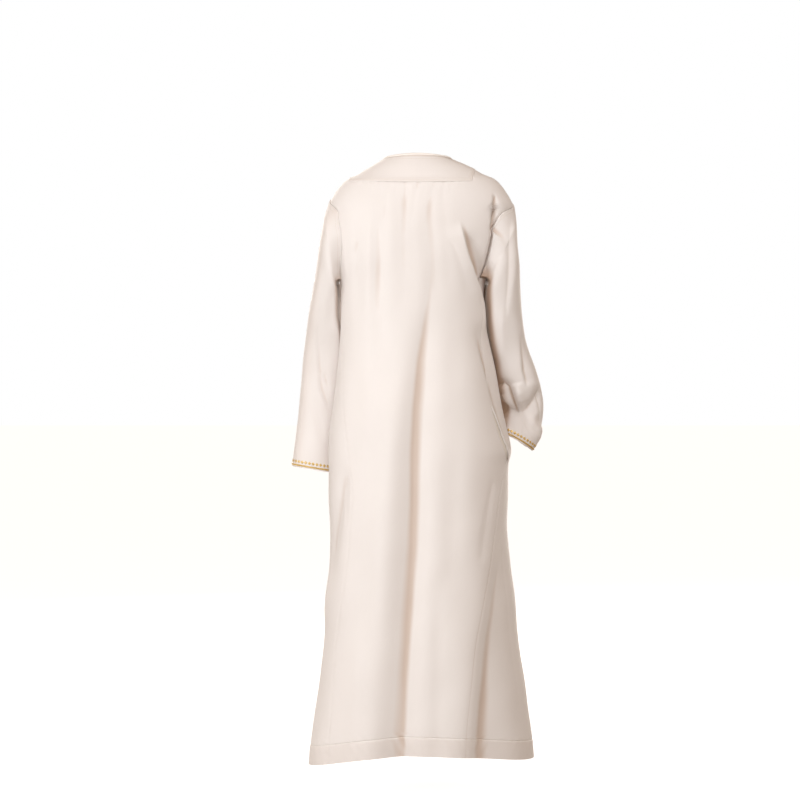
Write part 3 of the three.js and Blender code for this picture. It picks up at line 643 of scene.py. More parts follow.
# The columns lie closer where the sharp creases are.
column_bias = 0.3
even_share = np.linspace(0, 1, back_columns)
share = even_share + column_bias * np.sin(4 * math.pi * even_share) / (4 * math.pi)
columns = 180 * share - 90
top_rows = np.linspace(0, 1, top_steps, endpoint=False)[:, None]
tops = back_top(columns)[None, :]
upper_angle = np.repeat(columns[None, :], top_steps, axis=0)
upper_row = mix(tops, float(shoulder_row), top_rows)
long_run = -section("backZ", np.linspace(shoulder_row, hem_row, 400))
even = np.interp(np.linspace(long_run[0], long_run[-1], long_steps), long_run,
                 np.linspace(shoulder_row, hem_row, 400))
by_the_stitching = hem_stitch_row + np.array([-0.08, -0.05, -0.025, 0, 0.025, 0.05, 0.08])
even = np.sort(np.concatenate([even, by_the_stitching]))
lower_row = np.repeat(even[:, None], back_columns, axis=1)
lower_angle = mix(panel_edge("backRight", lower_row), panel_edge("backLeft", lower_row),
                  share[None, :])
back_angle = np.vstack([upper_angle, lower_angle])
back_row = np.vstack([upper_row, lower_row])
back_points, back_normal = body_cloth(back_angle, back_row)
back_points += back_normal * hem_relief(back_row, lengths(back_points, 1))[..., None]
back_points = sewn(back_points, back_normal, top=True, row=back_row)
# Painted shade: the back is darkened warm along the deep crease at the right armhole, on top of
# the painted shade in its hollows.
armhole_shade, armhole_shade_width = 0.65, 6
armhole_painted_shade = armhole_depth("right", back_row) / min(armhole_crease["right"]) * np.exp(
    -((lengths(back_points, 1) / armhole_shade_width) ** 2))
back_painted_shade = np.maximum(hollow_shade_and_hem_tint(back_points, back_normal, back_row),
                         armhole_shade * armhole_painted_shade)
back = make_cloth("back_cloth", back_points, ivory, painted_shade=back_painted_shade)
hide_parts("back")


# ---- Yoke ---------------------------------------------------------------------------------
# A straight-edged shoulder yoke of the same satin. Its lower edge is turned under, laid over the
# gathers and stitched through, so it stands a little proud of the back.
yoke_steps = 60
yoke_lift = 0.8
stitch_inset = 4.5
seam_allowance = 11
yoke_left_angle = float(angle_at(yoke_corners["left"][0], yoke_row, "left"))
yoke_right_angle = -float(angle_at(yoke_corners["right"][0], yoke_row, "right"))
yoke_columns = np.concatenate([np.linspace(-90, yoke_right_angle, 34)[:-1],
                               np.linspace(yoke_right_angle, yoke_left_angle, 70),
                               np.linspace(yoke_left_angle, 90, 24)[1:]])
yoke_ends = back_top(yoke_columns)[None, :]
yoke_rows = yoke_ends * np.linspace(0, 1, yoke_steps)[:, None]
yoke_angle = np.repeat(yoke_columns[None, :], yoke_steps, axis=0)
yoke_points, yoke_normal = body_cloth(yoke_angle, yoke_rows, below_yoke=False)
from_seam = lengths(yoke_points, 0)[-1:] - lengths(yoke_points, 0)
topstitch_groove = -0.45 * np.exp(-(((from_seam - stitch_inset) / 1.2) ** 2))
turned_edge = yoke_lift * ease((14 - from_seam) / 8) - 1.1 * np.exp(-((from_seam / 1.1) ** 2))
yoke_points += yoke_normal * (turned_edge + topstitch_groove)[..., None]
from_neck = lengths(yoke_points, 0)
# Painted shade just below the neck binding, and a faint tint over the seam allowance near the
# lower edge.
neck_shade, neck_shade_width, allowance_tone = 0.34, 2.6, 0.07
yoke_shade_and_allowance_tint = (neck_shade * np.exp(-((from_neck / neck_shade_width) ** 2))
               + allowance_tone * ease((seam_allowance - from_seam) / 2))
yoke = make_cloth("yoke_cloth", yoke_points, ivory, painted_shade=yoke_shade_and_allowance_tint)
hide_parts("yoke")


# ---- Front --------------------------------------------------------------------------------
# One straight width from the shoulder line to the hem, plain. The neck slit lies under the
# placket and isn't cut in this cloth.
front_columns, front_steps = 112, 250
front_run = -section("frontZ", np.linspace(0, hem_row, 500))
front_even = np.interp(np.linspace(front_run[0], front_run[-1], front_steps), front_run,
                       np.linspace(0, hem_row, 500))
front_even = np.sort(np.concatenate([front_even, by_the_stitching]))
front_row = np.repeat(front_even[:, None], front_columns, axis=1)
front_share = np.linspace(0, 1, front_columns)[None, :]
front_angle = mix(panel_edge("frontLeft", front_row), panel_edge("frontRight", front_row),
                  front_share)
front_points, front_normal = body_cloth(front_angle, front_row)
front_points += front_normal * hem_relief(front_row, lengths(front_points, 1))[..., None]
front_points = sewn(front_points, front_normal)
front = make_cloth("front_cloth", front_points, ivory,
                   painted_shade=hollow_shade_and_hem_tint(front_points, front_normal, front_row))
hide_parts("front")


# ---- Gores --------------------------------------------------------------------------------
# Long flared panels under the arms, narrow at the top. The mouth of the right pocket lies in the
# seam with the back, where the edge of the gore stands out.
gore_columns, gore_steps = 64, 240
mouth_top_row, mouth_end_row = 13, 16
mouth_gape = 6.5
mouth_spread = 0.25


def gore_angle(side, row, forward):
    if side == "left":
        return mix(panel_edge("backLeft", row), panel_edge("frontLeft", row), forward)
    return mix(panel_edge("backRight", row), panel_edge("frontRight", row) - 360, forward)


def mouth_lift(side, row, forward):
    if side == "left":
        return np.zeros_like(row)
    along = np.clip((row - mouth_top_row) / (mouth_end_row - mouth_top_row), 0, 1)
    return mouth_gape * np.sin(math.pi * along) ** 0.8 * ease(1 - forward / mouth_spread)


def gore_cloth(side, row, forward):
    points, normal = body_cloth(gore_angle(side, row, forward), row)
    return points + normal * mouth_lift(side, row, forward)[..., None], normal


gore_hems = []
for side in ("left", "right"):
    rows_down = np.concatenate([np.linspace(armpit_row, hem_row, gore_steps), by_the_stitching])
    rows_down = np.sort(rows_down)[:, None]
    gore_row = np.repeat(rows_down, gore_columns, axis=1)
    forward = np.linspace(0, 1, gore_columns)[None, :] * np.ones_like(gore_row)
    gore_points, gore_normal = gore_cloth(side, gore_row, forward)
    gore_points += gore_normal * hem_relief(gore_row, lengths(gore_points, 1))[..., None]
    gore_points = sewn(gore_points, gore_normal)
    gore = make_cloth(f"gore_{side}_cloth", gore_points, ivory, flip=side == "right",
                      painted_shade=hollow_shade_and_hem_tint(gore_points, gore_normal, gore_row))
    gore_hems.append((gore_points, gore_normal, gore_row[:, 0]))
    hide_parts(f"gore_{side}")


# ---- Pocket bag ---------------------------------------------------------------------------
# The bag of the right pocket, of thin plain pocketing, hangs inside the gore from the mouth in
# the seam. Only its back leaf shows in the open mouth, and the bag from inside the skirt.
pocket_clearance = 2.0
pocket_tuck = 1.9
pocket_hollow = 13
pocket_sections = [12, 13, 14, 15, 16, 17, 18]
pocket_fullness = [0, 0.6, 0.95, 1, 0.95, 0.7, 0]
pocket_reach = 7 / 12
pocket_rows = np.linspace(12, 18, 60)
pocket_open = np.interp(pocket_rows, pocket_sections, pocket_fullness)
leaf_share = np.linspace(0, 1, 26)
pocket_lines = []
for row, fullness in zip(pocket_rows, pocket_open):
    level = np.full_like(leaf_share, row)
    start = np.array([row])
    tuck_angle = gore_angle("right", start, np.zeros(1)) + 3
    tuck, tuck_normal = body_cloth(tuck_angle, start)
    back_edge = tuck - tuck_normal * pocket_tuck
    leaf, leaf_normal = gore_cloth("right", level, leaf_share * pocket_reach)
    bulge = np.sin(math.pi * leaf_share ** 0.8)
    behind = pocket_clearance + 2.6 * ease(leaf_share * 8) + pocket_hollow * fullness * bulge
    front_share = (1 - leaf_share) * pocket_reach
    outer_leaf, outer_normal = gore_cloth("right", level, np.maximum(0.02, front_share))
    pocket_lines.append(np.vstack([back_edge, leaf - leaf_normal * behind[:, None],
                                   outer_leaf - outer_normal * pocket_clearance]))
pocket_points = np.array(pocket_lines)
pocketing = satin_material("pocketing", (0.76, 0.69, 0.62))
pocket = make_cloth("pocket_bag", pocket_points, pocketing, thickness=0.6, flip=True)
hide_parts("pocket_right")


# ---- Sleeves ------------------------------------------------------------------------------
# Straight one-piece sleeves, set into the armholes with a seam that stands a little outside and
# rolls in at the body. The arms are slightly bent, so the cloth creases at the elbows.
sleeve_names = ["outerX", "outerZ", "innerX", "innerZ", "midY", "halfDepth"]
sleeve_tables = {
    "left": [
        (187, -128, 164, -260, -1, 52), (195, -175, 162, -274, -5, 52),
        (203, -222, 161, -292, -12, 49), (211, -275, 160, -324, -24, 45),
        (220, -325, 154, -357, -38, 42), (227, -372, 150, -394, -53, 39),
        (232, -420, 151, -434, -63, 38), (237, -470, 156, -480, -69, 37),
        (242, -520, 162, -530, -73, 36), (248, -572, 167, -584, -75, 36),
        (253, -616, 168, -630, -76, 36), (254, -624, 169, -638, -76, 36),
    ],
    "right": [
        (-198, -140, -144, -260, 0, 53), (-200, -185, -142, -276, -2, 53),
        (-204, -232, -142, -298, -6, 50), (-207, -282, -145, -330, -12, 46),
        (-212, -332, -150, -368, -20, 43), (-222, -382, -156, -406, -30, 41),
        (-239, -430, -162, -446, -38, 39), (-251, -470, -166, -476, -46, 38),
        (-255, -515, -171, -502, -55, 38), (-249, -552, -175, -528, -62, 37),
        (-232, -580, -178, -547, -66, 36), (-226, -588, -180, -555, -67, 36),
    ],
}
# Creases that don't show from straight behind: section and angle round the sleeve at both ends,
# half width in degrees, and depth.
sleeve_creases = {
    "left": [
        (1.0, 250, 8.0, 262, 20, -5), (3.0, 300, 10.0, 290, 20, -3), (4.8, 232, 8.8, 244, 8, -2.2),
        (5.2, 330, 8.2, 345, 9, -1.6),
    ],
    "right": [
        (2.0, 250, 6.0, 262, 20, -5), (5.0, 230, 8.0, 300, 20, -7), (8.6, 240, 10.4, 270, 9, -2.4),
        (6.0, 330, 8.4, 290, 14, -4), (7.2, 350, 9.4, 320, 14, 3),
    ],
}
# Creases at the back of each sleeve, as on the back.
sleeve_sharp = {
    "left": [
        ([(198, -318), (199, -370), (198, -417), (192, -470), (180, -500), (170, -520)],
         [4, 5], [13, 13], [-0.8, -1.6, -2.2, -2.8, -2.8, -1]),
        ([(219, -412), (214, -460), (207, -504), (195, -550), (181, -590)],
         [9, 9], [9, 9], [-0.6, -1.4, -1.6, -1.4, -0.6]),
        ([(190, -200), (189, -270), (196, -340)], [8, 9], [9, 10], [-0.8, -1.8, -0.8]),
        ([(187, -434), (184, -452), (178, -470)], [4, 4], [6, 6], [-0.8, -1.8, -0.6]),
        ([(166, -262), (172, -300), (178, -350)], [8, 8], [6, 6], [-1, -2, -0.6]),
    ],
    "right": [
        ([(-187, -116), (-183, -170), (-179, -230), (-175, -286), (-172, -340)],
         [16, 16], [7, 8], [-2, -4, -5, -4, -2], 1.6),
        ([(-199, -130), (-194, -200), (-187, -270), (-180, -330)], [8, 9], [14, 15], [1, 4, 4, 1]),
        ([(-170, -196), (-156, -218), (-142, -240), (-134, -254)], [8, 8], [2.5, 2.5],
         [-0.5, -1.4, -1.8, -1.4], 1.4),
        ([(-209, -352), (-210, -396), (-212, -430), (-221, -466)], [3, 3], [24, 26],
         [-1, -4, -5, -3], 1.3),
        ([(-176, -190), (-172, -260), (-168, -340), (-170, -420)], [26, 26], [10, 12],
         [2, 5, 5, 2], 1.6),
        ([(-156, -464), (-170, -456), (-182, -464), (-190, -488), (-201, -520)], [5, 4], [8, 9],
         [-4, -8, -9, -10, -9], 1.4),
        ([(-196, -456), (-202, -476), (-208, -500)], [10, 8], [12, 10], [2, 7, 3]),
        ([(-168, -478), (-176, -494), (-184, -510)], [5, 5], [5, 5], [1.5, 4, 2]),
        ([(-146, -478), (-168, -499), (-186, -511), (-204, -519), (-219, -511), (-236, -495),
          (-266, -462)], [28, 30], [5, 18], [-8, -11, -13, -15, -15, -14, -8], 1.4),
        ([(-150, -548), (-178, -562), (-204, -576), (-232, -576), (-262, -536)], [34, 34],
         [34, 34], [10, 12, 14, 13, 10]),
        ([(-258, -520), (-246, -536), (-232, -556)], [8, 8], [14, 14], [-1.5, -4, -1.5]),
    ],
}
# The inside of each sleeve leans on the body: how far it reaches, and the sections between.
sleeve_leans = {"left": (9, 5.5), "right": (14, 10.5)}
inner_flatness, outer_flatness = 0.42, 0.70
sleeve_stand = 1.2
sleeve_head = 13
loop_count = 180
sleeve_steps = 225
sleeve_cloth_thickness = 1.3
join_steps = 16
# Painted warm shade where a sleeve faces the body: strength, angle and spread. The left sleeve has
# a faint painted warm glow outside as well.
sleeve_shade = {"left": (0.55, 182, 28), "right": (0.8, 176, 34)}
painted_outer_glow = {"left": 0.12, "right": 0.0}
glow_turn, glow_spread = 38, 20


def outer_directions(points, normal_side):
    """Directions out of a closed ring-by-ring surface."""
    down = np.gradient(points, axis=0)
    around = np.roll(points, -1, axis=1) - np.roll(points, 1, axis=1)
    return unit(np.cross(around, down)) * normal_side


def armhole_loop(side):
    """The edge of the armhole: down the back, along the gore, and up the front."""
    back_name = "backLeft" if side == "left" else "backRight"
    front_name = "frontLeft" if side == "left" else "frontRight"
    turn = 0 if side == "left" else 360
    down = np.linspace(shoulder_row, armpit_row, 61)
    across = np.linspace(0, 1, 13)[1:-1]
    low = np.full_like(across, float(armpit_row))
    under = mix(panel_edge(back_name, low), panel_edge(front_name, low) - turn, across)
    up = down[::-1][:-1]
    angle = np.concatenate([panel_edge(back_name, down), under, panel_edge(front_name, up) - turn])
    row = np.concatenate([down, low, up])
    fall = np.linspace(1, 0, len(low)) ** 2 * armhole_crease[side][-1]
    depth = np.concatenate([armhole_depth(side, down), fall, 0 * up])
    points, normal = body_cloth(angle[None, :], row[None, :])
    return points[0], np.concatenate([normal[0], depth[:, None]], axis=1)


def even_loop(points, others, count):
    """Even steps round a closed line, with the values that go with its points."""
    closed = np.vstack([points, points[:1]])
    run = np.concatenate([[0], np.cumsum(np.linalg.norm(np.diff(closed, axis=0), axis=1))])
    at = np.linspace(0, run[-1], count, endpoint=False)

    def along(values):
        shut = np.vstack([values, values[:1]])
        return np.stack([np.interp(at, run, shut[:, i]) for i in range(shut.shape[1])], axis=1)
    return along(points), along(others), 360 * at / run[-1]


def sleeve_surface(side, row, angle):
    """Points of a sleeve: angle 0 is its outer line and 90 its back."""
    value = {name: smooth_column(sleeve_names, sleeve_tables[side], name, row)
             for name in sleeve_names}
    swell = np.zeros(np.broadcast(row, angle).shape)
    for from_row, from_angle, to_row, to_angle, width, depth in sleeve_creases[side]:
        t = (row - from_row) / (to_row - from_row)
        centre = mix(from_angle, to_angle, t)
        inside = np.sqrt(np.sin(math.pi * np.clip(t, 0, 1)))
        swell = swell + depth * inside * np.exp(-(((angle - centre) / width) ** 2))
    half_x = (value["outerX"] - value["innerX"]) / 2
    half_z = (value["outerZ"] - value["innerZ"]) / 2
    half = np.hypot(half_x, half_z)
    c, s = np.cos(np.radians(angle)), np.sin(np.radians(angle))
    s = np.sign(s) * np.abs(s) ** np.where((c < 0) & (s > 0), inner_flatness, outer_flatness)
    stretch = c * (1 + swell / half)
    x = (value["outerX"] + value["innerX"]) / 2 + half_x * stretch
    z = (value["outerZ"] + value["innerZ"]) / 2 + half_z * stretch
    y = value["midY"] + s * (value["halfDepth"] + swell)
    reach, last_row = sleeve_leans[side]
    lean = ease((row + 0.9) / 1.4) * ease((last_row - row) / 2.5)
    x = x - np.sign(x) * reach * lean * np.exp(-(((angle - 203) / 24) ** 2))
    return np.stack(np.broadcast_arrays(x, y, z), axis=-1)


def sleeve_grid(side):
    """Rings of a sleeve: sewn into the armhole, joined smoothly to the sleeve, then creased."""
    points, normal_and_depth = armhole_loop(side)
    edge, outward, angles = even_loop(points, normal_and_depth, loop_count)
    depth = outward[:, 3:]
    outward = unit(outward[:, :3])
    middle = edge.mean(axis=0)
    towards = middle - edge
    inwards = unit(towards - outward * (towards * outward).sum(axis=1, keepdims=True))
    last = len(sleeve_tables[side]) - 1
    rows_down = np.linspace(0, last, sleeve_steps)[:, None]
    body_of_sleeve = sleeve_surface(side, rows_down, angles[None, :])
    start = edge + inwards * 0.5 + to_the_back * depth - outward * 1.0
    stand = edge + inwards * (1.1 - 0.25 * depth) + outward * sleeve_stand
    crown = edge + inwards * (4.5 - 0.25 * depth) + outward * (sleeve_stand + 1.0)
    first = body_of_sleeve[0]
    full = sleeve_head * ease(0.5 + 0.62 * np.cos(np.radians(angles - 70)))[:, None]
    before = first + unit(first - body_of_sleeve[4]) * full
    join = []
    for t in np.linspace(0, 1, join_steps, endpoint=False):
        u = 1 - t
        join.append(u ** 3 * stand + 3 * u * u * t * crown + 3 * u * t * t * before
                    + t ** 3 * first)
    rings = np.concatenate([start[None], np.array(join), body_of_sleeve])
    outward = outer_directions(rings, -1 if side == "left" else 1)
    height = crease_heights(sleeve_sharp[side], rings[..., 0], rings[..., 2])
    behind = np.clip(outward[..., 1] * 2.5, 0, 1) * ease(np.arange(len(rings))[:, None] / 6)
    height = height * behind + 0.6 * soft_swell(rings[..., 0] * 1.6, rings[..., 2] * 1.6) * (
        ease((np.arange(len(rings)) - join_steps)[:, None] / 20))
    return rings + outward * height[..., None], angles


finished_sleeves = {}
for side in ("left", "right"):
    sleeve_points, turns = sleeve_grid(side)
    finished_sleeves[side] = (sleeve_points,
                              outer_directions(sleeve_points, -1 if side == "left" else 1))
    closed = np.concatenate([sleeve_points, sleeve_points[:, :1]], axis=1)
    strength, inner_turn, spread = sleeve_shade[side]
    # Painted shade where the sleeve faces the body, a painted glow outside, and painted shade in
    # its hollows.
    painted_body_shade = strength * np.exp(-(((turns - inner_turn) / spread) ** 4))
    painted_body_shade += painted_outer_glow[side] * np.exp(-(((turns - glow_turn) / glow_spread) ** 2))
    painted_sleeve_shade = np.maximum(hollow_shade_and_hem_tint(*finished_sleeves[side]), painted_body_shade[None, :])
    painted_sleeve_shade = np.concatenate([painted_sleeve_shade, painted_sleeve_shade[:, :1]], axis=1)
    if side == "right":
        closed, painted_sleeve_shade = closed[:, ::-1], painted_sleeve_shade[:, ::-1]
    sleeve = make_cloth(f"sleeve_{side}_cloth", closed, ivory, thickness=sleeve_cloth_thickness,
                        around=True, flip=True, painted_shade=painted_sleeve_shade)
    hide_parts(f"sleeve_{side}")


# ---- Neck binding -------------------------------------------------------------------------
# A narrow strip of the same satin, folded over the neck edge and stitched from outside. It is
# given a lighter copy of the satin's colour: painted light on its raised edge.
neck_steps = 240
edge_turns = np.linspace(-90, 270, neck_steps + 1)[:-1]
level = np.zeros_like(edge_turns)
edge_points, edge_normal = body_cloth(edge_turns, level)
under_points = body_cloth(edge_turns, level + 0.4)[0]
edge_points = edge_points + edge_normal * 0.4
rise = unit(edge_points - under_points)
rise[:, 2] = np.maximum(rise[:, 2], 0.8)
rise = unit(rise)
around_neck = np.concatenate([edge_points[:, :2], np.zeros((len(edge_points), 1))], axis=1)
outwards = unit(around_neck - rise * (around_neck * rise).sum(axis=1, keepdims=True))
profile = [(0.0, 0.0), (0.6, 0.55), (2.6, 0.8), (4.6, 0.6), (5.7, 0.0), (6.0, -1.0),
           (5.7, -2.0), (4.6, -2.5), (2.6, -2.6), (0.4, -2.3)]
binding_rings = [edge_points + rise * up + outwards * out for up, out in profile]
binding_points = np.array(binding_rings)
steps = np.arange(neck_steps)
wobble = 0.12 * np.sin(steps * 0.9) * np.sin(steps * 0.23 + 1)
binding_points = binding_points + (outwards * wobble[:, None])[None]
binding_points = np.concatenate([binding_points, binding_points[:, :1]], axis=1)
# A lighter copy of the ivory satin: painted light for the raised binding.
bound_edge = satin_material("bound_edge", (0.95, 0.89, 0.84))
binding = make_cloth("neck_binding_cloth", binding_points, bound_edge, thickness=0.5, around=True,
                     flip=True)
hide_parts("neck_binding")


# ---- Placket ------------------------------------------------------------------------------
# A straight strip of satin down the front slit, with its long edges turned under and stitched.
# It lies on the front and carries the buttons.
placket_width = 30
placket_start = 3
slit_length = 190


def row_at_front(z):
    run = np.linspace(0, hem_row, 2601)
    return np.interp(-z, -section("frontZ", run), run)


neck_front = section("frontZ", 0)
placket_rows = row_at_front(np.linspace(neck_front - placket_start,
                                        neck_front - placket_start - slit_length, 120))[:, None]
offsets = np.linspace(-placket_width / 2, placket_width / 2, 33)[None, :]
placket_angle = 180 + np.where(offsets < 0, -angle_at(-offsets, placket_rows, "left"),
                               angle_at(offsets, placket_rows, "right"))
placket_points, placket_normal = body_cloth(placket_angle, placket_rows + 0 * offsets)
edge_fall = 0.5 * ease((placket_width / 2 - np.abs(offsets)) / 1.5)
groove = -0.35 * np.exp(-(((placket_width / 2 - np.abs(offsets) - 2.2) / 0.7) ** 2))
placket_points += placket_normal * (1.4 + edge_fall + groove)[..., None]
placket = make_cloth("placket_cloth", placket_points, ivory, thickness=1.0)
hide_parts("placket")


# ---- Buttons ------------------------------------------------------------------------------
# Three small pearly buttons with a raised rim and a dished middle, turned from one outline. They
# stand on the placket at even steps down from the neck.
button_depths = [30, 90, 150]
button_thickness = 2.4
seam_gap, placket_wall = 0.3, 1.6


def speckled(name, scale, low, high, roughness):
    """A material in fine specks of two tones, with the nodes that carry them."""
    material, nodes, links, shader = new_material(name)
    place = nodes.new("ShaderNodeTexCoord")
    noise = nodes.new("ShaderNodeTexNoise")
    noise.inputs["Scale"].default_value = scale
    tones = nodes.new("ShaderNodeValToRGB")
    tones.color_ramp.elements[0].color = (*low, 1)
    tones.color_ramp.elements[1].color = (*high, 1)
    links.new(place.outputs["Object"], noise.inputs["Vector"])
    links.new(noise.outputs["Fac"], tones.inputs[0])
    links.new(tones.outputs[0], shader.inputs["Base Color"])
    shader.inputs["Roughness"].default_value = roughness
    return material, shader, noise, tones


pearl, pearl_shader, pearl_noise = speckled("pearl_button", 260, (0.76, 0.68, 0.60),
                                            (0.93, 0.89, 0.85), 0.22)[:3]
pearl_noise.inputs["Distortion"].default_value = 2
pearl_shader.inputs["Coat Weight"].default_value = 0.4
for number, depth in enumerate(button_depths, 1):
    row = row_at_front(neck_front - depth)
    place, facing = body_cloth(np.array([180.0]), np.array([float(row)]))
    bm = bmesh.new()
    outline = [(0, -1.2), (3.6, -1.2), (4.7, -0.8), (5.0, -0.1), (4.9, 0.6), (4.4, 1.15),
               (3.9, 1.2), (3.4, 0.75), (2.6, 0.55), (0, 0.5)]
    verts = [bm.verts.new((r, 0, h)) for r, h in outline]
    edges = [bm.edges.new(pair) for pair in zip(verts, verts[1:])]
    bmesh.ops.spin(bm, geom=verts + edges, cent=(0, 0, 0), axis=(0, 0, 1), angle=2 * math.pi,
                   steps=48, use_merge=True, use_duplicate=False)
    bmesh.ops.remove_doubles(bm, verts=bm.verts, dist=1e-4)
    bmesh.ops.recalc_face_normals(bm, faces=bm.faces)
    turn = Vector(facing[0]).to_track_quat("Z", "Y").to_matrix().to_4x4()
    centre = place[0] + facing[0] * (seam_gap + placket_wall + seam_gap
                                    + button_thickness / 2)
    bmesh.ops.transform(bm, matrix=turn, verts=bm.verts)
    bmesh.ops.translate(bm, verts=bm.verts, vec=centre)
    bmesh.ops.scale(bm, verts=bm.verts, vec=(MM, MM, MM))
    for face in bm.faces:
        face.smooth = True
    button = piece_of(f"pearl_button_{number}", bm, pearl)
    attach(button, "root")
    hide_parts(f"button_{number}")


# ---- Cuff braid ---------------------------------------------------------------------------
# A narrow gold braid laid round each cuff just above its edge: two slanting lines of twisted
# metallic strands beside a flat middle. A row of small diamonds, worked in the same thread with
# close stitches, runs above it.
braid_above_cuff = 3.0
diamond_height = 7.4
diamond_width = 8.2
diamond_pitch = 7.6
diamonds_above_cuff = 11.8


braid_steps, strand_turns, diamond_steps = 960, 160, 720
braid_profile = [(-0.1, 0.1), (0.0, 0.8), (0.65, 1.25), (1.3, 0.9), (1.5, 0.6), (1.7, 0.9),
                 (2.35, 1.25), (3.0, 0.8), (3.1, 0.1)]

gold, gold_shader, gold_noise, gold_tones = speckled("gold_braid", 900, (0.45, 0.31, 0.11),
                                                     (0.90, 0.62, 0.22), 0.38)
gold_noise.inputs["Detail"].default_value = 2
gold_tones.color_ramp.elements[0].position = 0.3
gold_tones.color_ramp.elements[1].position = 0.66
gold_shader.inputs["Metallic"].default_value = 0.5


def cuff_ring(side, above, lift, count):
    """A line round the finished sleeve, above the cuff's edge and moved out by lift."""
    grid, outward = finished_sleeves[side]
    from_edge = lengths(grid, 0)
    from_edge = from_edge[-1:] - from_edge
    columns = grid.shape[1]
    ring, out = np.zeros((columns, 3)), np.zeros((columns, 3))
    for column in range(columns):
        run = from_edge[::-1, column]
        for axis in range(3):
            ring[column, axis] = np.interp(above, run, grid[::-1, column, axis])
            out[column, axis] = np.interp(above, run, outward[::-1, column, axis])
    at = np.linspace(0, columns, count, endpoint=False)

    def around(values):
        return np.stack([np.interp(at, np.arange(columns), values[:, i], period=columns)
                         for i in range(3)], axis=1)
    out = unit(around(out))
    return around(ring) + out * lift, out


def join_meshes(name, sheets, material):
    """Many small grids of points as one mesh."""
    bm = bmesh.new()
    for points in sheets:
        row_count, column_count = points.shape[:2]
        made = bmesh.ops.create_grid(bm, x_segments=column_count - 1, y_segments=row_count - 1,
                                     size=1)
        for vert, place in zip(made["verts"], points.reshape(-1, 3) * MM):
            vert.co = place
    for face in bm.faces:
        face.smooth = True
    piece = piece_of(name, bm, material)
    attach(piece, "root")
    return piece


for side in ("left", "right"):
    rings = []
    for up, out in braid_profile:
        ring, outward = cuff_ring(side, braid_above_cuff + up, 0.1 + out, braid_steps)
        slant = 1 if up < 1.5 else -1
        twist = np.arange(braid_steps) * 2 * math.pi * strand_turns / braid_steps
        ripple = 0.28 * np.sin(twist + slant * up * 2.4)
        rings.append(ring + outward * (ripple * (out > 0.5))[:, None])
    braid_points = np.array(rings)
    braid_points = np.concatenate([braid_points, braid_points[:, :1]], axis=1)
    braid = make_cloth(f"cuff_braid_{side}_strands", braid_points, gold, thickness=0.3,
                       around=True, flip=side == "right")
    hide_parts(f"cuff_braid_{side}")

    middle, outward = cuff_ring(side, diamonds_above_cuff, 0, diamond_steps)
    above, _ = cuff_ring(side, diamonds_above_cuff + 2, 0, diamond_steps)
    upward = unit(above - middle)
    step = np.linalg.norm(np.roll(middle, -1, axis=0) - middle, axis=1)
    run = np.concatenate([[0], np.cumsum(step)])
    diamond_count = round(run[-1] / diamond_pitch)
    diamonds = []
    for number in range(diamond_count):
        u, v = np.meshgrid(np.linspace(-1, 1, 7), np.linspace(-1, 1, 7))
        along, up = (u - v) / 2 * diamond_width / 2, (u + v) / 2 * diamond_height / 2
        at = (number + 0.5) * run[-1] / diamond_count + along
        index = np.interp(at % run[-1], run, np.arange(len(run)))
        near = index.astype(int) % len(middle)
        rise = 0.95 * (1 - np.maximum(np.abs(u), np.abs(v)) ** 3) - 0.15
        rise += 0.12 * np.cos(u * math.pi * 3)
        place = middle[near] + upward[near] * up[..., None] + outward[near] * rise[..., None]
        diamonds.append(place)
    row_of_diamonds = join_meshes(f"cuff_diamonds_{side}", diamonds, gold)


# ---- Stitching ----------------------------------------------------------------------------
# Ivory cotton lock stitches: a row above the yoke's lower edge, a row round the neck, two rows
# round each armhole, one along the hem, and one down each side of the placket.
stitch_pitch = 3.2
stitch_length = 2.5
stitch_radius = 0.28
hem_pitch = 4.2
neck_inset, placket_inset, armhole_insets = 9.0, 2.2, (4.0, 9.0)
thread = speckled("sewing_thread", 1400, (0.66, 0.57, 0.48), (0.84, 0.76, 0.68), 0.6)[0]


def line_inside(grid, outward, inset):
    """The line at an even distance from the first row of a sheet, and its outward directions."""
    run = lengths(grid, 0)
    line, out = np.zeros(grid[0].shape), np.zeros(grid[0].shape)
    for column in range(grid.shape[1]):
        for axis in range(3):
            line[column, axis] = np.interp(inset, run[:, column], grid[:, column, axis])
            out[column, axis] = np.interp(inset, run[:, column], outward[:, column, axis])
    return line, unit(out)


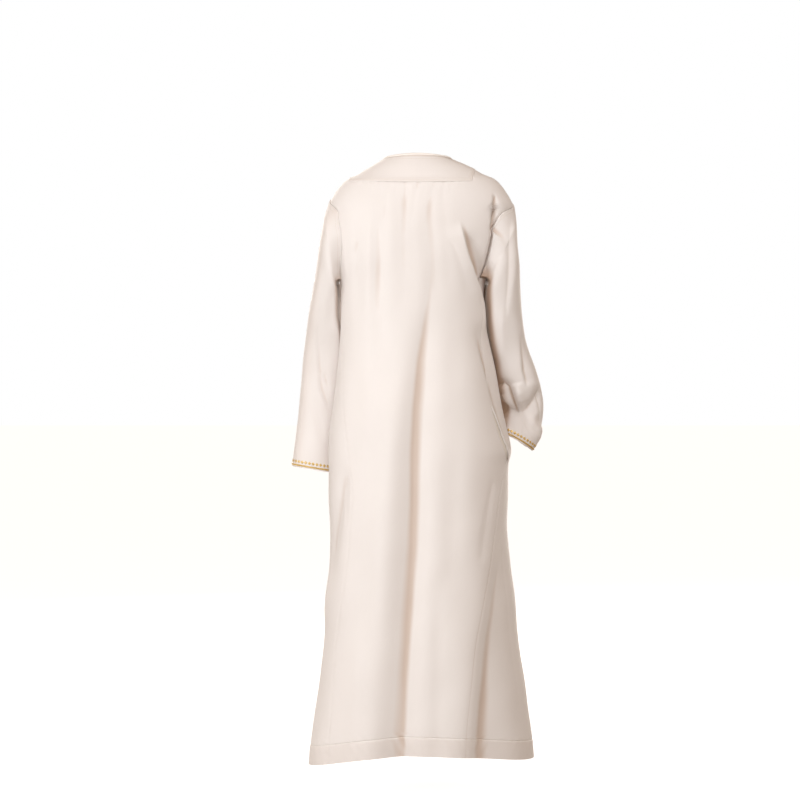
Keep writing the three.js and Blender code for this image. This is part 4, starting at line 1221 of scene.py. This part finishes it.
def stitches_along(line, out, pitch, length=stitch_length):
    """Arched stitches laid end to end along a line."""
    run = np.concatenate([[0], np.cumsum(np.linalg.norm(np.diff(line, axis=0), axis=1))])
    sheets = []
    for middle in np.arange(pitch / 2, run[-1] - pitch / 2, pitch):
        at = middle + np.linspace(-0.5, 0.5, 5) * length
        spine = np.stack([np.interp(at, run, line[:, axis]) for axis in range(3)], axis=1)
        facing = unit(np.array([np.interp(middle, run, out[:, axis]) for axis in range(3)]))
        ahead = unit(spine[-1] - spine[0])
        beside = np.cross(facing, ahead)
        taper = stitch_radius * np.array([0.25, 0.9, 1, 0.9, 0.25])[:, None, None]
        lift = np.array([-0.05, 0.2, 0.28, 0.2, -0.05])[:, None, None]
        turn = np.linspace(0, math.pi, 4)[None, :, None]
        sheets.append(spine[:, None, :] + beside * np.cos(turn) * taper
                      + facing * (np.sin(turn) * taper + lift))
    return sheets


def sew(name, runs, pitch=stitch_pitch):
    sheets = []
    for line, out in runs:
        sheets += stitches_along(line, out, pitch)
    seam = join_meshes(name, sheets, thread)


def turned(grid):
    return grid.transpose(1, 0, 2)


sew("yoke_stitches", [line_inside(yoke_points[::-1], yoke_normal[::-1], stitch_inset)])
sew("neck_stitches", [line_inside(yoke_points[:30], yoke_normal[:30], neck_inset),
                      line_inside(front_points[:60], front_normal[:60], neck_inset)])
for side in ("left", "right"):
    rings, directions = finished_sleeves[side]
    sew(f"armhole_stitches_{side}", [line_inside(rings[:40], directions[:40], inset)
                                     for inset in armhole_insets])
hem_runs = []
for points, normal, row in [(back_points, back_normal, back_row[:, 0]),
                            (front_points, front_normal, front_row[:, 0]), *gore_hems]:
    at = int(np.argmin(np.abs(row - hem_stitch_row)))
    hem_runs.append((points[at], normal[at]))
sew("hem_stitches", hem_runs, hem_pitch)
placket_runs = []
for step in (1, -1):
    grid, directions = turned(placket_points)[::step], turned(placket_normal)[::step]
    placket_runs.append(line_inside(grid[:16], directions[:16], placket_inset))
sew("placket_stitches", placket_runs)
